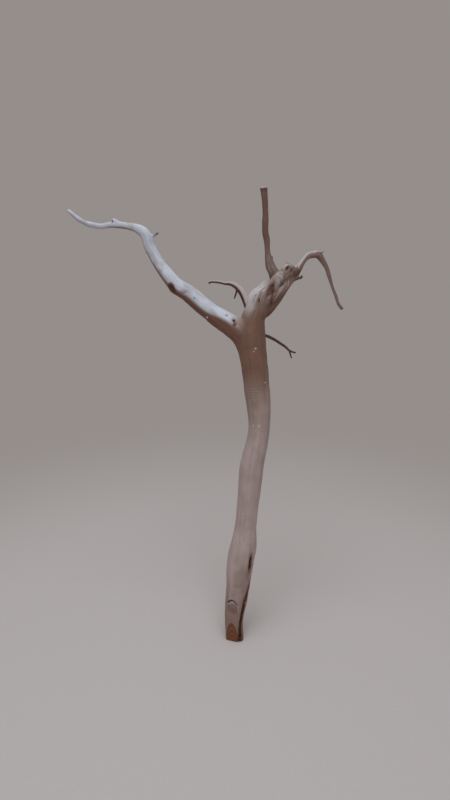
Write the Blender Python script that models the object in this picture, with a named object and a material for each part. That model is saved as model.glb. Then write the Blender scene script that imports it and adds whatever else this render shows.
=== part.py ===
"""Driftwood tabletop tree: a leaning trunk that carries separate limbs on dowels and tenons.

Metres, +Z up. The origin is the centre of the sawn foot, on the surface that the tree stands on.
+X runs to the right of the tree and +Y to its back, the way the trunk leans.
"""
import math

import bmesh
import bpy
from mathutils import Matrix, Vector

# Trunk, from the foot to the head above the fork
TRUNK_HEIGHT = 0.437
TRUNK_LEAN = 0.138
TRUNK_SWEEP = 0.045
TRUNK_GIRTH = 0.0365

# Left limb: reach to the left, to the back and up
LEFT_REACH = 0.247
LEFT_DEPTH = 0.085
LEFT_RISE = 0.168
LEFT_GIRTH = 0.027

# Upright stem: its swing to the right, its depth and its rise
STEM_SWING = 0.028
STEM_DEPTH = 0.0205
STEM_RISE = 0.1555
STEM_GIRTH = 0.0155

# Right limb: reach of its tip, depth and height of its arch
RIGHT_REACH = 0.121
RIGHT_DEPTH = 0.0475
RIGHT_RISE = 0.0726
RIGHT_GIRTH = 0.014

# Broken stub on the stem
STUB_REACH = 0.0150
STUB_RISE = 0.0275
STUB_GIRTH = 0.0096

# Curled twig behind the head, and drooping twig at the right
CURL_REACH = 0.060
CURL_DEPTH = 0.053
CURL_RISE = 0.0385
CURL_GIRTH = 0.0094
DROOP_REACH = 0.066
DROOP_DEPTH = 0.0715
DROOP_FALL = 0.039
DROOP_GIRTH = 0.0042

# Joints
DOWEL_LONG = 0.036
DOWEL_THICK = 0.008
STEM_DOWEL_LONG = 0.022
STEM_DOWEL_THICK = 0.0036
RIGHT_DOWEL_LONG = 0.022
RIGHT_DOWEL_THICK = 0.0036
TENON_REACH = 0.009
STUB_TENON = 0.0044
CURL_TENON = 0.0044
DROOP_TENON = 0.0022
BRAD_LONG = 0.017
BRAD_THICK = 0.0013
BRAD_HEAD = 0.0028
BRAD_HEAD_TALL = 0.0008
BRAD_SUNK = 0.0022
BRAD_SET_BACK = 0.0045
CLEARANCE = 0.0003

# Foot, knot slit and bark seam; turns are in degrees from the front towards the right
FOOT_CHAMFER_TALL = 0.0225
FOOT_CHAMFER_DEEP = 0.0034
FOOT_CHAMFER_TURN = -18
SLIT_WIDE = 0.0042
SLIT_TALL = 0.019
SLIT_DEEP = 0.0075
SLIT_HEIGHT = 0.097
SLIT_TURN = 44
BARK_WIDE = 0.0046
BARK_SUNK = 0.0006
BARK_DEEP = 0.0012

# Mesh fineness
STEPS_PER_STATION = 2
TRUNK_SIDES = 18
LIMB_SIDES = 14
TWIG_SIDES = 10
ROD_SIDES = 16

# Station rows: sideways, backwards, upwards and width, in thousandths of the branch's own sizes.
TRUNK_STATIONS = (
    (10, -30, -30, 600), (0, 0, 0, 625), (-20, 50, 50, 655), (40, 105, 105, 790),
    (100, 160, 160, 860), (170, 220, 215, 965), (270, 275, 270, 895), (325, 335, 325, 760),
    (420, 420, 410, 810), (490, 490, 480, 855), (650, 560, 550, 760), (700, 620, 605, 795),
    (640, 705, 685, 905), (545, 790, 775, 960), (495, 850, 830, 1000), (520, 905, 885, 850),
    (630, 935, 915, 780), (710, 960, 945, 795), (845, 980, 966, 635), (950, 990, 987, 420),
    (1000, 1000, 1000, 190),
)
LEFT_STATIONS = (
    (0, 0, 0, 980), (50, 45, 85, 1000), (95, 105, 135, 960), (150, 165, 185, 915),
    (210, 235, 230, 870), (275, 305, 300, 880), (340, 375, 376, 850), (400, 445, 428, 800),
    (443, 505, 495, 690), (485, 565, 570, 590), (515, 610, 640, 565), (545, 645, 720, 540),
    (558, 670, 790, 565), (592, 705, 846, 490), (664, 765, 877, 360), (750, 835, 888, 300),
    (817, 880, 874, 263), (900, 930, 898, 200), (957, 965, 948, 150), (1000, 1000, 1000, 90),
)
STEM_STATIONS = (
    (70, 40, -10, 600), (430, 420, 40, 690), (715, 690, 90, 740), (895, 895, 138, 790),
    (993, 1000, 196, 870), (996, 890, 280, 1000), (868, 750, 345, 910), (718, 640, 395, 840),
    (629, 540, 451, 665), (561, 440, 523, 480), (521, 380, 601, 560), (436, 270, 686, 520),
    (418, 130, 845, 445), (318, 40, 1000, 590),
)
RIGHT_STATIONS = (
    (15, 20, -40, 700), (100, 20, 20, 760), (165, 25, 110, 820), (215, 70, 200, 860),
    (261, 137, 291, 900), (317, 263, 426, 940), (379, 410, 552, 1000), (460, 580, 661, 960),
    (528, 747, 850, 670), (590, 874, 972, 610), (648, 947, 1012, 620), (712, 990, 1010, 650),
    (774, 1000, 893, 540), (817, 979, 762, 420), (853, 937, 577, 300), (882, 895, 434, 280),
    (917, 853, 289, 265), (952, 810, 135, 240), (1000, 790, 36, 255),
)
STUB_STATIONS = (
    (0, 0, 0, 900), (400, 30, 360, 1000), (720, -60, 700, 960), (1000, -160, 1000, 920),
)
CURL_STATIONS = (
    (0, 0, 0, 1000), (67, 190, 90, 1000), (100, 377, 240, 970), (155, 547, 465, 930),
    (242, 679, 690, 850), (360, 774, 855, 710), (490, 849, 945, 570), (627, 906, 951, 450),
    (762, 943, 995, 400), (922, 981, 1000, 350), (1000, 1000, 953, 290),
)
DROOP_STATIONS = (
    (0, 0, 0, 1000), (212, 160, -50, 1000), (300, 259, -112, 980), (390, 357, -200, 930),
    (508, 483, -338, 880), (627, 608, -500, 850), (752, 748, -675, 810), (853, 874, -858, 740),
    (1000, 1000, -988, 560),
)
# Bark seam rows: height up the trunk in thousandths, and the turn from the front, in degrees.
BARK_ROWS = ((8, 34), (40, 42), (75, 46), (112, 48), (134, 60), (160, 74))

# Where each branch meets the one that carries it, as a station number along its course
TRUNK_LEFT_ROOT = 13.72
TRUNK_CROWN_ROOT = 15.45
TRUNK_CURL_ROOT = 15.3
TRUNK_DROOP_ROOT = 14.24
LEFT_JOINT = 1.95
STEM_JOINT = 1.4
RIGHT_JOINT = 1.5
STEM_STUB_ROOT = 4.5
STUB_JOINT = 0.75
CURL_JOINT = 1.35
DROOP_JOINT = 1.0


class Course:
    """A branch's centre line and radius, smooth through its stations."""

    def __init__(self, start, sizes, girth, stations):
        self.points = [start + Vector([size * share / 1000 for size, share in zip(sizes, row)])
                       for row in stations]
        self.radii = [girth * row[3] / 2000 for row in stations]
        self.last = len(stations) - 1

    def blend(self, values, where):
        """Catmull-Rom blend of the stations' values at a station number with a fraction."""
        index = min(int(where), self.last - 1)
        share = where - index
        before = values[max(index - 1, 0)]
        here = values[index]
        there = values[index + 1]
        after = values[min(index + 2, self.last)]
        return 0.5 * ((2 * here) + (there - before) * share
                      + (2 * before - 5 * here + 4 * there - after) * share ** 2
                      + (3 * here - before - 3 * there + after) * share ** 3)

    def point(self, where):
        return self.blend(self.points, where)

    def radius(self, where):
        return self.blend(self.radii, where)

    def heading(self, where):
        step = 0.02
        low = max(where - step, 0)
        high = min(where + step, self.last)
        return (self.point(high) - self.point(low)).normalized()


def clear_scene():
    for item in list(bpy.data.objects):
        bpy.data.objects.remove(item, do_unlink=True)


def wood(name, colour, roughness, metallic=0.0):
    """One Principled material."""
    material = bpy.data.materials.new(name)
    material.use_nodes = True
    shader = material.node_tree.nodes["Principled BSDF"]
    shader.inputs["Base Color"].default_value = (*colour, 1)
    shader.inputs["Roughness"].default_value = roughness
    shader.inputs["Metallic"].default_value = metallic
    return material


def new_object(name, shape, material=None):
    """Turn a bmesh into an object: a node when it has a material, a hidden cutter when not."""
    bmesh.ops.recalc_face_normals(shape, faces=shape.faces)
    mesh = bpy.data.meshes.new(name)
    shape.to_mesh(mesh)
    shape.free()
    mesh.shade_smooth()
    mesh.set_sharp_from_angle(angle=math.radians(40))
    item = bpy.data.objects.new(name, mesh)
    bpy.context.scene.collection.objects.link(item)
    if material is None:
        item.hide_render = True
        item.display_type = "WIRE"
    else:
        mesh.materials.append(material)
    return item


def cut(item, tool, operation="DIFFERENCE"):
    """Cut an object with a tool, or join the tool to it."""
    modifier = item.modifiers.new(tool.name, "BOOLEAN")
    modifier.operation = operation
    modifier.object = tool
    modifier.solver = "EXACT"


def tube_shape(course, first, last, sides, swell=0.0):
    """A closed tube along a course, with flat ends."""
    shape = bmesh.new()
    count = max(1, round((last - first) * STEPS_PER_STATION))
    across = Vector((1, 0, 0))
    rings = []
    for index in range(count + 1):
        where = first + (last - first) * index / count
        heading = course.heading(where)
        across = (across - heading * across.dot(heading)).normalized()
        upward = heading.cross(across)
        reach = course.radius(where) + swell
        centre = course.point(where)
        turns = [2 * math.pi * side / sides for side in range(sides)]
        rings.append([shape.verts.new(centre + reach * (across * math.cos(turn) + upward * math.sin(turn)))
                      for turn in turns])
    for ring, following in zip(rings, rings[1:]):
        for side in range(sides):
            beyond = (side + 1) % sides
            shape.faces.new((ring[side], ring[beyond], following[beyond], following[side]))
    shape.faces.new(rings[0])
    shape.faces.new(rings[-1])
    return shape


def rod_shape(start, end, start_width, end_width, sides=ROD_SIDES):
    """A straight round rod or taper between two points."""
    shape = bmesh.new()
    along = end - start
    place = Matrix.Translation((start + end) / 2) @ along.to_track_quat("Z", "Y").to_matrix().to_4x4()
    bmesh.ops.create_cone(shape, cap_ends=True, segments=sides, radius1=start_width / 2,
                          radius2=end_width / 2, depth=along.length, matrix=place)
    return shape


def slice_off(shape, point, normal):
    """Saw a shape flat at a plane, on the side that the normal points to."""
    result = bmesh.ops.bisect_plane(shape, geom=shape.verts[:] + shape.edges[:] + shape.faces[:],
                                    plane_co=point, plane_no=normal, clear_outer=True)
    rim = [part for part in result["geom_cut"] if isinstance(part, bmesh.types.BMEdge)]
    bmesh.ops.edgeloop_fill(shape, edges=rim)


def straight_joint(course, joint, length, width, pieces, name, material):
    """A dowel across a joint, in a blind hole in both pieces."""
    middle = course.point(joint)
    half = course.heading(joint) * length / 2
    spare = course.heading(joint) * CLEARANCE
    hole = new_object(name + "_hole", rod_shape(middle - half - spare, middle + half + spare,
                                                width + 2 * CLEARANCE, width + 2 * CLEARANCE))
    for piece in pieces:
        cut(piece, hole)
    return new_object(name, rod_shape(middle - half, middle + half, width, width), material)


def tenon_joint(course, joint, width, branch, carrier, name):
    """A round tenon on a branch, in a blind hole in the piece that carries it."""
    heading = course.heading(joint)
    root = course.point(joint) - heading * TENON_REACH
    tip = course.point(joint) + heading * TENON_REACH
    hole = new_object(name + "_hole", rod_shape(root - heading * CLEARANCE, tip,
                                                width + 2 * CLEARANCE, width + 2 * CLEARANCE))
    tenon = new_object(name + "_tenon", rod_shape(root, tip, width, width))
    cut(carrier, hole)
    cut(branch, tenon, "UNION")


def add_spur(branch, course, where, offset, root_width, tip_width, name):
    """A short side spur that grows from inside a branch."""
    root = course.point(where)
    spur = new_object(name, rod_shape(root, root + Vector(offset), root_width, tip_width, 8))
    cut(branch, spur, "UNION")


def front_point(course, where, turn, sink):
    """A point on a course's skin, turned from the front towards the right, sunk by a depth."""
    reach = course.radius(where) - sink
    return course.point(where) + reach * Vector((math.sin(turn), -math.cos(turn), 0))


def station_at_height(course, height):
    """The station number where a rising course reaches a height."""
    low = 0.0
    high = float(course.last)
    for _ in range(40):
        middle = (low + high) / 2
        if course.point(middle).z < height:
            low = middle
        else:
            high = middle
    return low


def foot_chamfer(shape, course):
    """Saw the front left of the foot off along a slant."""
    turn = math.radians(FOOT_CHAMFER_TURN)
    top = front_point(course, station_at_height(course, FOOT_CHAMFER_TALL), turn, 0)
    low = front_point(course, station_at_height(course, 0), turn, FOOT_CHAMFER_DEEP)
    outward = Vector((math.sin(turn), -math.cos(turn), 0))
    along = (top - low).normalized()
    normal = (outward - along * outward.dot(along)).normalized()
    slice_off(shape, low, normal)


def make_trunk(course, left_course, material):
    """The trunk and its head, with the collar that carries the left limb."""
    shape = tube_shape(course, 0, course.last, TRUNK_SIDES)
    slice_off(shape, Vector((0, 0, 0)), Vector((0, 0, -1)))
    foot_chamfer(shape, course)
    trunk = new_object("trunk", shape, material)
    collar = new_object("left_collar", tube_shape(left_course, 0, LEFT_JOINT, LIMB_SIDES))
    cut(trunk, collar, "UNION")
    return trunk


def cut_knot_slit(trunk, course):
    """The narrow hole of a lost knot, low on the right of the front."""
    where = station_at_height(course, SLIT_HEIGHT)
    turn = math.radians(SLIT_TURN)
    inward = Vector((-math.sin(turn), math.cos(turn), 0))
    side = course.heading(where).cross(inward).normalized()
    frame = Matrix((side, inward, course.heading(where))).transposed().to_4x4()
    scale = Matrix.Diagonal((SLIT_WIDE / 2, SLIT_DEEP, SLIT_TALL / 2, 1))
    shape = bmesh.new()
    bmesh.ops.create_icosphere(shape, subdivisions=2, radius=1,
                               matrix=Matrix.Translation(front_point(course, where, turn, 0)) @ frame @ scale)
    cut(trunk, new_object("knot_slit", shape))


def make_bark_strip(trunk, course, material):
    """The strip of old bark that stays in its seam at the foot."""
    rows = [(station_at_height(course, TRUNK_HEIGHT * height / 1000), math.radians(turn))
            for height, turn in BARK_ROWS]
    seam = Course(Vector((0, 0, 0)), (1, 1, 1), BARK_WIDE, [(0, 0, 0, 1000)] * len(rows))
    seam.points = [front_point(course, where, turn, BARK_DEEP) for where, turn in rows]
    seam.radii[seam.last] = seam.radii[0] / 2
    groove = new_object("bark_groove", tube_shape(seam, 0, seam.last, TWIG_SIDES, CLEARANCE))
    cut(trunk, groove)
    end_gap = 2 * CLEARANCE / (seam.points[1] - seam.points[0]).length
    strip = new_object("bark_strip", tube_shape(seam, end_gap, seam.last - end_gap, TWIG_SIDES), material)
    skin = new_object("bark_skin", tube_shape(course, 0, course.last, TRUNK_SIDES, -BARK_SUNK))
    cut(strip, skin, "INTERSECT")
    return strip


def make_left_limb(trunk, trunk_room, course, limb_wood, dowel_wood, steel):
    """The long left limb, its dowel and the brad that locks it."""
    gap = CLEARANCE / (course.point(LEFT_JOINT + 1) - course.point(LEFT_JOINT)).length
    limb = new_object("left_limb", tube_shape(course, LEFT_JOINT + gap, course.last, LIMB_SIDES), limb_wood)
    add_spur(limb, course, 12, (0.0145, -0.003, 0.004), 0.0034, 0.0020, "elbow_spur")
    add_spur(limb, course, 14.0, (-0.0205, 0.005, 0.0085), 0.0085, 0.0046, "lost_shoot")
    cut(limb, trunk_room)
    dowel = straight_joint(course, LEFT_JOINT, DOWEL_LONG, DOWEL_THICK, (trunk, limb), "left_limb_dowel",
                           dowel_wood)
    add_brad(limb, dowel, course, steel)
    return limb


def add_brad(limb, dowel, course, steel):
    """The brad through the limb's root and its dowel, its head sunk below the skin."""
    heading = course.heading(LEFT_JOINT)
    seat = course.point(LEFT_JOINT) + heading * BRAD_SET_BACK
    outward = (Vector((0, -1, 1)) - heading * heading.dot(Vector((0, -1, 1)))).normalized()
    head = seat + outward * (course.radius(LEFT_JOINT) - BRAD_SUNK)
    point = head - outward * BRAD_LONG
    neck = head - outward * BRAD_HEAD_TALL
    shank_hole = new_object("brad_shank_hole", rod_shape(point - outward * CLEARANCE, head, BRAD_THICK
                                                         + 2 * CLEARANCE, BRAD_THICK + 2 * CLEARANCE, 12))
    head_hole = new_object("brad_head_hole", rod_shape(neck - outward * CLEARANCE, head + outward
                                                       * BRAD_HEAD * 2, BRAD_HEAD + 2 * CLEARANCE,
                                                       BRAD_HEAD + 2 * CLEARANCE, 12))
    cut(limb, shank_hole)
    cut(limb, head_hole)
    cut(dowel, shank_hole)
    brad = new_object("left_limb_brad", rod_shape(point, neck, BRAD_THICK, BRAD_THICK, 12), steel)
    cut(brad, new_object("brad_head", rod_shape(neck - outward * CLEARANCE, head, BRAD_HEAD, BRAD_HEAD, 12)),
        "UNION")


def main():
    clear_scene()
    pale = wood("bleached_wood", (0.56, 0.52, 0.50), 0.72)
    warm = wood("bare_wood", (0.36, 0.25, 0.20), 0.70)
    dark = wood("dark_twig_wood", (0.10, 0.055, 0.04), 0.75)
    bark = wood("old_bark", (0.12, 0.045, 0.025), 0.85)
    beech = wood("dowel_beech", (0.62, 0.45, 0.29), 0.6)
    steel = wood("brad_steel", (0.30, 0.29, 0.28), 0.45, 1.0)

    ground = Vector((0, 0, 0))
    trunk_course = Course(ground, (TRUNK_SWEEP, TRUNK_LEAN, TRUNK_HEIGHT), TRUNK_GIRTH, TRUNK_STATIONS)
    left_course = Course(trunk_course.point(TRUNK_LEFT_ROOT), (-LEFT_REACH, LEFT_DEPTH, LEFT_RISE),
                         LEFT_GIRTH, LEFT_STATIONS)
    crown = trunk_course.point(TRUNK_CROWN_ROOT)
    stem_course = Course(crown, (STEM_SWING, STEM_DEPTH, STEM_RISE), STEM_GIRTH, STEM_STATIONS)
    right_course = Course(crown, (RIGHT_REACH, RIGHT_DEPTH, RIGHT_RISE), RIGHT_GIRTH, RIGHT_STATIONS)
    stub_course = Course(stem_course.point(STEM_STUB_ROOT), (STUB_REACH, STUB_REACH, STUB_RISE),
                         STUB_GIRTH, STUB_STATIONS)
    curl_course = Course(trunk_course.point(TRUNK_CURL_ROOT), (-CURL_REACH, CURL_DEPTH, CURL_RISE),
                         CURL_GIRTH, CURL_STATIONS)
    droop_course = Course(trunk_course.point(TRUNK_DROOP_ROOT), (DROOP_REACH, DROOP_DEPTH, DROOP_FALL),
                          DROOP_GIRTH, DROOP_STATIONS)

    trunk = make_trunk(trunk_course, left_course, warm)
    cut_knot_slit(trunk, trunk_course)
    make_bark_strip(trunk, trunk_course, bark)
    trunk_room = new_object("trunk_room", tube_shape(trunk_course, 0, trunk_course.last, TRUNK_SIDES,
                                                     CLEARANCE))
    make_left_limb(trunk, trunk_room, left_course, pale, beech, steel)

    stem_room = new_object("stem_room", tube_shape(stem_course, 0, stem_course.last, LIMB_SIDES, CLEARANCE))

    stem = new_object("upright_stem", tube_shape(stem_course, 0, stem_course.last, LIMB_SIDES), warm)
    add_spur(stem, stem_course, 8.1, (0.006, -0.0005, 0.0015), 0.0034, 0.0022, "stem_bud")
    cut(stem, trunk_room)
    straight_joint(stem_course, STEM_JOINT, STEM_DOWEL_LONG, STEM_DOWEL_THICK, (trunk, stem),
                   "upright_stem_dowel", beech)

    stub = new_object("broken_stub", tube_shape(stub_course, 0, stub_course.last, TWIG_SIDES), warm)
    cut(stub, stem_room)
    tenon_joint(stub_course, STUB_JOINT, STUB_TENON, stub, stem, "stub")

    right = new_object("right_limb", tube_shape(right_course, 0, right_course.last, LIMB_SIDES), warm)
    add_spur(right, right_course, 6.4, (0.0145, 0.002, 0.003), 0.0042, 0.0022, "right_spur")
    add_spur(right, right_course, 10.4, (0.0105, -0.001, 0.0070), 0.0042, 0.0016, "bark_flake")
    cut(right, trunk_room)
    cut(right, stem_room)
    straight_joint(right_course, RIGHT_JOINT, RIGHT_DOWEL_LONG, RIGHT_DOWEL_THICK, (trunk, right),
                   "right_limb_dowel", beech)

    curl = new_object("curled_twig", tube_shape(curl_course, 0, curl_course.last, TWIG_SIDES), dark)
    add_spur(curl, curl_course, 4.8, (-0.0045, 0.005, -0.016), 0.0026, 0.0016, "curl_spur")
    cut(curl, trunk_room)
    tenon_joint(curl_course, CURL_JOINT, CURL_TENON, curl, trunk, "curl")

    droop = new_object("drooping_twig", tube_shape(droop_course, 0, droop_course.last, TWIG_SIDES), dark)
    add_spur(droop, droop_course, 7, (0.004, 0.006, -0.012), 0.0030, 0.0018, "droop_fork")
    cut(droop, trunk_room)
    tenon_joint(droop_course, DROOP_JOINT, DROOP_TENON, droop, trunk, "droop")


main()
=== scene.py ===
"""Driftwood tabletop tree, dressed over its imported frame.

Metres, +Z up, origin at the sawn foot: +X is the tree's right and +Y its back.
Each limb is laid as a tapered rod along its own course, turned into one closed skin, carved
point by point like a carver would, and dressed in wood that knows which way its grain runs.
"""

import logging
import math
from collections.abc import Sequence
from dataclasses import dataclass, field
from enum import Enum

import bmesh
import bpy
import numpy as np
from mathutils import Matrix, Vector

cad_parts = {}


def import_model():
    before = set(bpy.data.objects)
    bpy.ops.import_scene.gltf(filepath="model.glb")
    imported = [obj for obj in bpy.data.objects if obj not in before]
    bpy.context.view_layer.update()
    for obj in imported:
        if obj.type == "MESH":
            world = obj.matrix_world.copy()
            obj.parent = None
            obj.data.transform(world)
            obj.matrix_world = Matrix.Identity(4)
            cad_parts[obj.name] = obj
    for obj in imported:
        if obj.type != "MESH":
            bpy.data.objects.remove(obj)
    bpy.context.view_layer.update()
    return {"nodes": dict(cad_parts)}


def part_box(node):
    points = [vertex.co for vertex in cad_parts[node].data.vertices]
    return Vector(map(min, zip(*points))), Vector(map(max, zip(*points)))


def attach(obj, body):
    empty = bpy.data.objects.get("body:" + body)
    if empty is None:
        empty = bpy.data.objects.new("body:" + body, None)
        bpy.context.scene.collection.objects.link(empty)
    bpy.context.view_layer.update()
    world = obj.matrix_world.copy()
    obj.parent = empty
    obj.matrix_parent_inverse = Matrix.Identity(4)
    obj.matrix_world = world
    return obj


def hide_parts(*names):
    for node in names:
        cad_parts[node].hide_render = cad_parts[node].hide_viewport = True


BODY = "root"
MM = 0.001
EYE = (-0.0126, -0.61, 0.50)
log = logging.getLogger("driftwood_tree")

Array = np.ndarray
Rows = tuple[tuple[float, float, float, float], ...]
Place = tuple[float, float, float]
Colour = tuple[float, float, float]


# ---------------------------------------------------------------- numbers that shape the wood
def ease(low: float, high: float, values: Array) -> Array:
    """Rise smoothly from 0 at `low` to 1 at `high`; `low` may be above `high`.

    Args:
        low: The value where the rise starts.
        high: The value where the rise ends.
        values: What is measured.

    Returns:
        One share from 0 to 1 for each value.
    """
    share = np.clip((values - low) / (high - low), 0.0, 1.0)
    return share * share * (3.0 - 2.0 * share)


def hill(values: Array, width: float) -> Array:
    """Fall smoothly from 1 at zero to almost nothing at twice `width`."""
    return np.exp(-(values / width) ** 2)


def lattice(cells: Array, seed: int) -> Array:
    """Give each whole-number cell its own fixed value.

    Args:
        cells: Whole-number cell places, one row each.
        seed: Which of the endless fields is read.

    Returns:
        One value from -1 to 1 for each row.
    """
    mixed = (cells[:, 0] * 374761393 + cells[:, 1] * 668265263 + cells[:, 2] * 1103515245
             + seed * 1274126177) & 0xFFFFFFFF
    mixed = ((mixed ^ (mixed >> 13)) * 1274126177) & 0xFFFFFFFF
    mixed = mixed ^ (mixed >> 16)
    return mixed / 2147483647.5 - 1.0


def rough(points: Array, seed: int, octaves: int = 1) -> Array:
    """Read smooth noise, the same on every machine.

    Args:
        points: Places in noise cells, one row each.
        seed: Which field is read.
        octaves: How many finer layers are laid over the first, each half as strong.

    Returns:
        One value from about -1 to 1 for each row.
    """
    total = np.zeros(len(points))
    strength = 1.0
    for octave in range(octaves):
        cells = np.floor(points).astype(np.int64)
        inside = points - cells
        fade = inside * inside * inside * (inside * (inside * 6.0 - 15.0) + 10.0)
        layer = np.zeros(len(points))
        for corner in range(8):
            step = np.array([corner & 1, corner >> 1 & 1, corner >> 2 & 1])
            share = np.prod(np.where(step == 1, fade, 1.0 - fade), axis=1)
            layer += share * lattice(cells + step, seed + octave * 101)
        total += strength * layer
        strength *= 0.5
        points = points * 2.03 + 17.7
    return total


# ---------------------------------------------------------------- courses
@dataclass(frozen=True)
class Course:
    """A branch's centre line and width, smooth through its stations.

    Each row holds sideways, backwards, upwards and width, in thousandths of the branch's own
    reach, depth, rise and girth.
    """

    start: Place
    reach: float
    depth: float
    rise: float
    girth: float
    rows: Rows

    @property
    def last(self) -> int:
        """The number of the last station."""
        return len(self.rows) - 1

    def at(self, where: float) -> Array:
        """Place and radius at a station number with a fraction.

        Args:
            where: The station number.

        Returns:
            X, Y, Z and the radius.
        """
        index = min(int(where), self.last - 1)
        share = where - index
        picks = (max(index - 1, 0), index, index + 1, min(index + 2, self.last))
        before, here, there, after = (np.array(self.rows[pick]) for pick in picks)
        blend = 0.5 * ((2 * here) + (there - before) * share
                       + (2 * before - 5 * here + 4 * there - after) * share ** 2
                       + (3 * here - before - 3 * there + after) * share ** 3)
        scale = np.array([self.reach, self.depth, self.rise, self.girth / 2]) / 1000
        return blend * scale + np.array([*self.start, 0.0])

    def place(self, where: float) -> Place:
        """The centre line's place at a station number."""
        return tuple(self.at(where)[:3])

    def stretch(self, first: float, last: float, steps: int) -> Array:
        """Many places along the course, evenly spaced in station numbers."""
        return np.array([self.at(where) for where in np.linspace(first, last, steps)])


class Spine:
    """A course sampled finely, with a frame carried along it, to tell where the grain runs."""

    def __init__(self, course: Course, samples: int = 220) -> None:
        """Sample the course and carry a sideways direction along it without twist."""
        table = course.stretch(0.0, course.last, samples)
        self.centres = table[:, :3]
        self.radii = table[:, 3]
        steps = np.gradient(self.centres, axis=0)
        self.headings = steps / np.linalg.norm(steps, axis=1, keepdims=True)
        lengths = np.linalg.norm(np.diff(self.centres, axis=0), axis=1)
        self.along = np.concatenate([[0.0], np.cumsum(lengths)])
        across = np.array([1.0, 0.0, 0.0])
        sides = []
        for heading in self.headings:
            across = across - heading * across.dot(heading)
            across = across / np.linalg.norm(across)
            sides.append(across)
        self.across = np.array(sides)
        self.upward = np.cross(self.headings, self.across)

    def straighten(self, points: Array) -> tuple[Array, Array]:
        """Read points in the straightened branch.

        Args:
            points: World places, one row each.

        Returns:
            Rows of across, upward and along in metres, and each point's distance from the
            centre line over the branch's radius there.
        """
        nearest = np.empty(len(points), dtype=np.int64)
        for start in range(0, len(points), 20000):
            part = points[start:start + 20000]
            gaps = ((part[:, None, :] - self.centres[None, :, :]) ** 2).sum(axis=2)
            nearest[start:start + 20000] = gaps.argmin(axis=1)
        offset = points - self.centres[nearest]
        ahead = (offset * self.headings[nearest]).sum(axis=1)
        side = (offset * self.across[nearest]).sum(axis=1)
        upward = (offset * self.upward[nearest]).sum(axis=1)
        straight = np.stack([side, upward, self.along[nearest] + ahead], axis=1)
        return straight, np.linalg.norm(offset, axis=1) / self.radii[nearest]


TRUNK_ROWS: Rows = (
    (10, -30, -30, 600), (0, 0, 0, 625), (-20, 50, 50, 655), (40, 105, 105, 790),
    (100, 160, 160, 860), (170, 220, 215, 965), (270, 275, 270, 895), (325, 335, 325, 760),
    (420, 420, 410, 810), (490, 490, 480, 855), (650, 560, 550, 760), (700, 620, 605, 795),
    (640, 705, 685, 905), (545, 790, 775, 960), (495, 850, 830, 1000), (520, 905, 885, 850),
    (630, 935, 915, 780), (710, 960, 945, 795), (845, 980, 966, 635), (950, 990, 987, 420),
    (1000, 1000, 1000, 190),
)
LEFT_ROWS: Rows = (
    (0, 0, 0, 980), (50, 45, 85, 1000), (95, 105, 135, 960), (150, 165, 185, 915),
    (210, 235, 230, 870), (275, 305, 300, 880), (340, 375, 376, 850), (400, 445, 428, 800),
    (443, 505, 495, 690), (485, 565, 570, 590), (515, 610, 640, 565), (545, 645, 720, 540),
    (558, 670, 790, 565), (592, 705, 846, 490), (664, 765, 877, 360), (750, 835, 888, 300),
    (817, 880, 874, 275), (900, 930, 898, 238), (957, 965, 948, 212), (1000, 1000, 1000, 160),
)
STEM_ROWS: Rows = (
    (70, 40, -10, 600), (430, 420, 40, 690), (715, 690, 90, 740), (895, 895, 138, 790),
    (993, 1000, 196, 870), (996, 890, 280, 1000), (868, 750, 345, 910), (718, 640, 395, 840),
    (629, 540, 451, 665), (561, 440, 523, 480), (521, 380, 601, 560), (436, 270, 686, 520),
    (418, 130, 845, 445), (318, 40, 1000, 590),
)
RIGHT_ROWS: Rows = (
    (15, 20, -40, 700), (100, 20, 20, 760), (165, 25, 115, 800), (215, 70, 220, 800),
    (261, 137, 318, 810), (317, 263, 458, 830), (379, 410, 588, 850), (446, 560, 704, 790),
    (518, 740, 862, 640), (590, 874, 985, 610), (648, 947, 1012, 620), (712, 990, 1010, 650),
    (774, 1000, 893, 540), (817, 979, 762, 420), (853, 937, 577, 300), (882, 895, 434, 280),
    (917, 853, 289, 265), (952, 810, 135, 240), (1000, 790, 36, 255),
)
STUB_ROWS: Rows = (
    (0, 0, 0, 900), (400, 30, 360, 1000), (720, -60, 700, 960), (1000, -160, 1000, 920),
)
CURL_ROWS: Rows = (
    (0, 0, 0, 1200), (67, 190, 90, 1250), (100, 377, 260, 1200), (165, 547, 500, 1120),
    (252, 679, 735, 980), (360, 774, 900, 820), (490, 849, 985, 640), (627, 906, 990, 520),
    (762, 943, 1030, 470), (922, 981, 1040, 430), (1000, 1000, 985, 420),
)
DROOP_ROWS: Rows = (
    (0, 0, 0, 1000), (212, 160, -50, 1000), (300, 259, -112, 980), (390, 357, -200, 930),
    (508, 483, -338, 880), (627, 608, -500, 850), (752, 748, -675, 810), (853, 874, -858, 740),
    (1000, 1000, -988, 560),
)

TRUNK = Course((0.0, 0.0, 0.0), 0.045, 0.138, 0.437, 0.0365, TRUNK_ROWS)
LEFT = Course(TRUNK.place(13.72), -0.247, 0.085, 0.168, 0.027, LEFT_ROWS)
CROWN = TRUNK.place(15.45)
STEM = Course(CROWN, 0.028, 0.0205, 0.1555, 0.0155, STEM_ROWS)
RIGHT = Course(CROWN, 0.121, 0.0475, 0.0726, 0.014, RIGHT_ROWS)
STUB = Course(STEM.place(4.5), 0.0150, 0.0150, 0.0275, 0.0096, STUB_ROWS)
CURL = Course(TRUNK.place(15.3), -0.060, 0.053, 0.0385, 0.0094, CURL_ROWS)
DROOP = Course(TRUNK.place(14.24), 0.066, 0.0715, 0.039, 0.0042, DROOP_ROWS)


# ---------------------------------------------------------------- hand tools
def deselect_all() -> None:
    """Leave nothing selected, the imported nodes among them."""
    bpy.ops.object.select_all(action="DESELECT")


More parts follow.
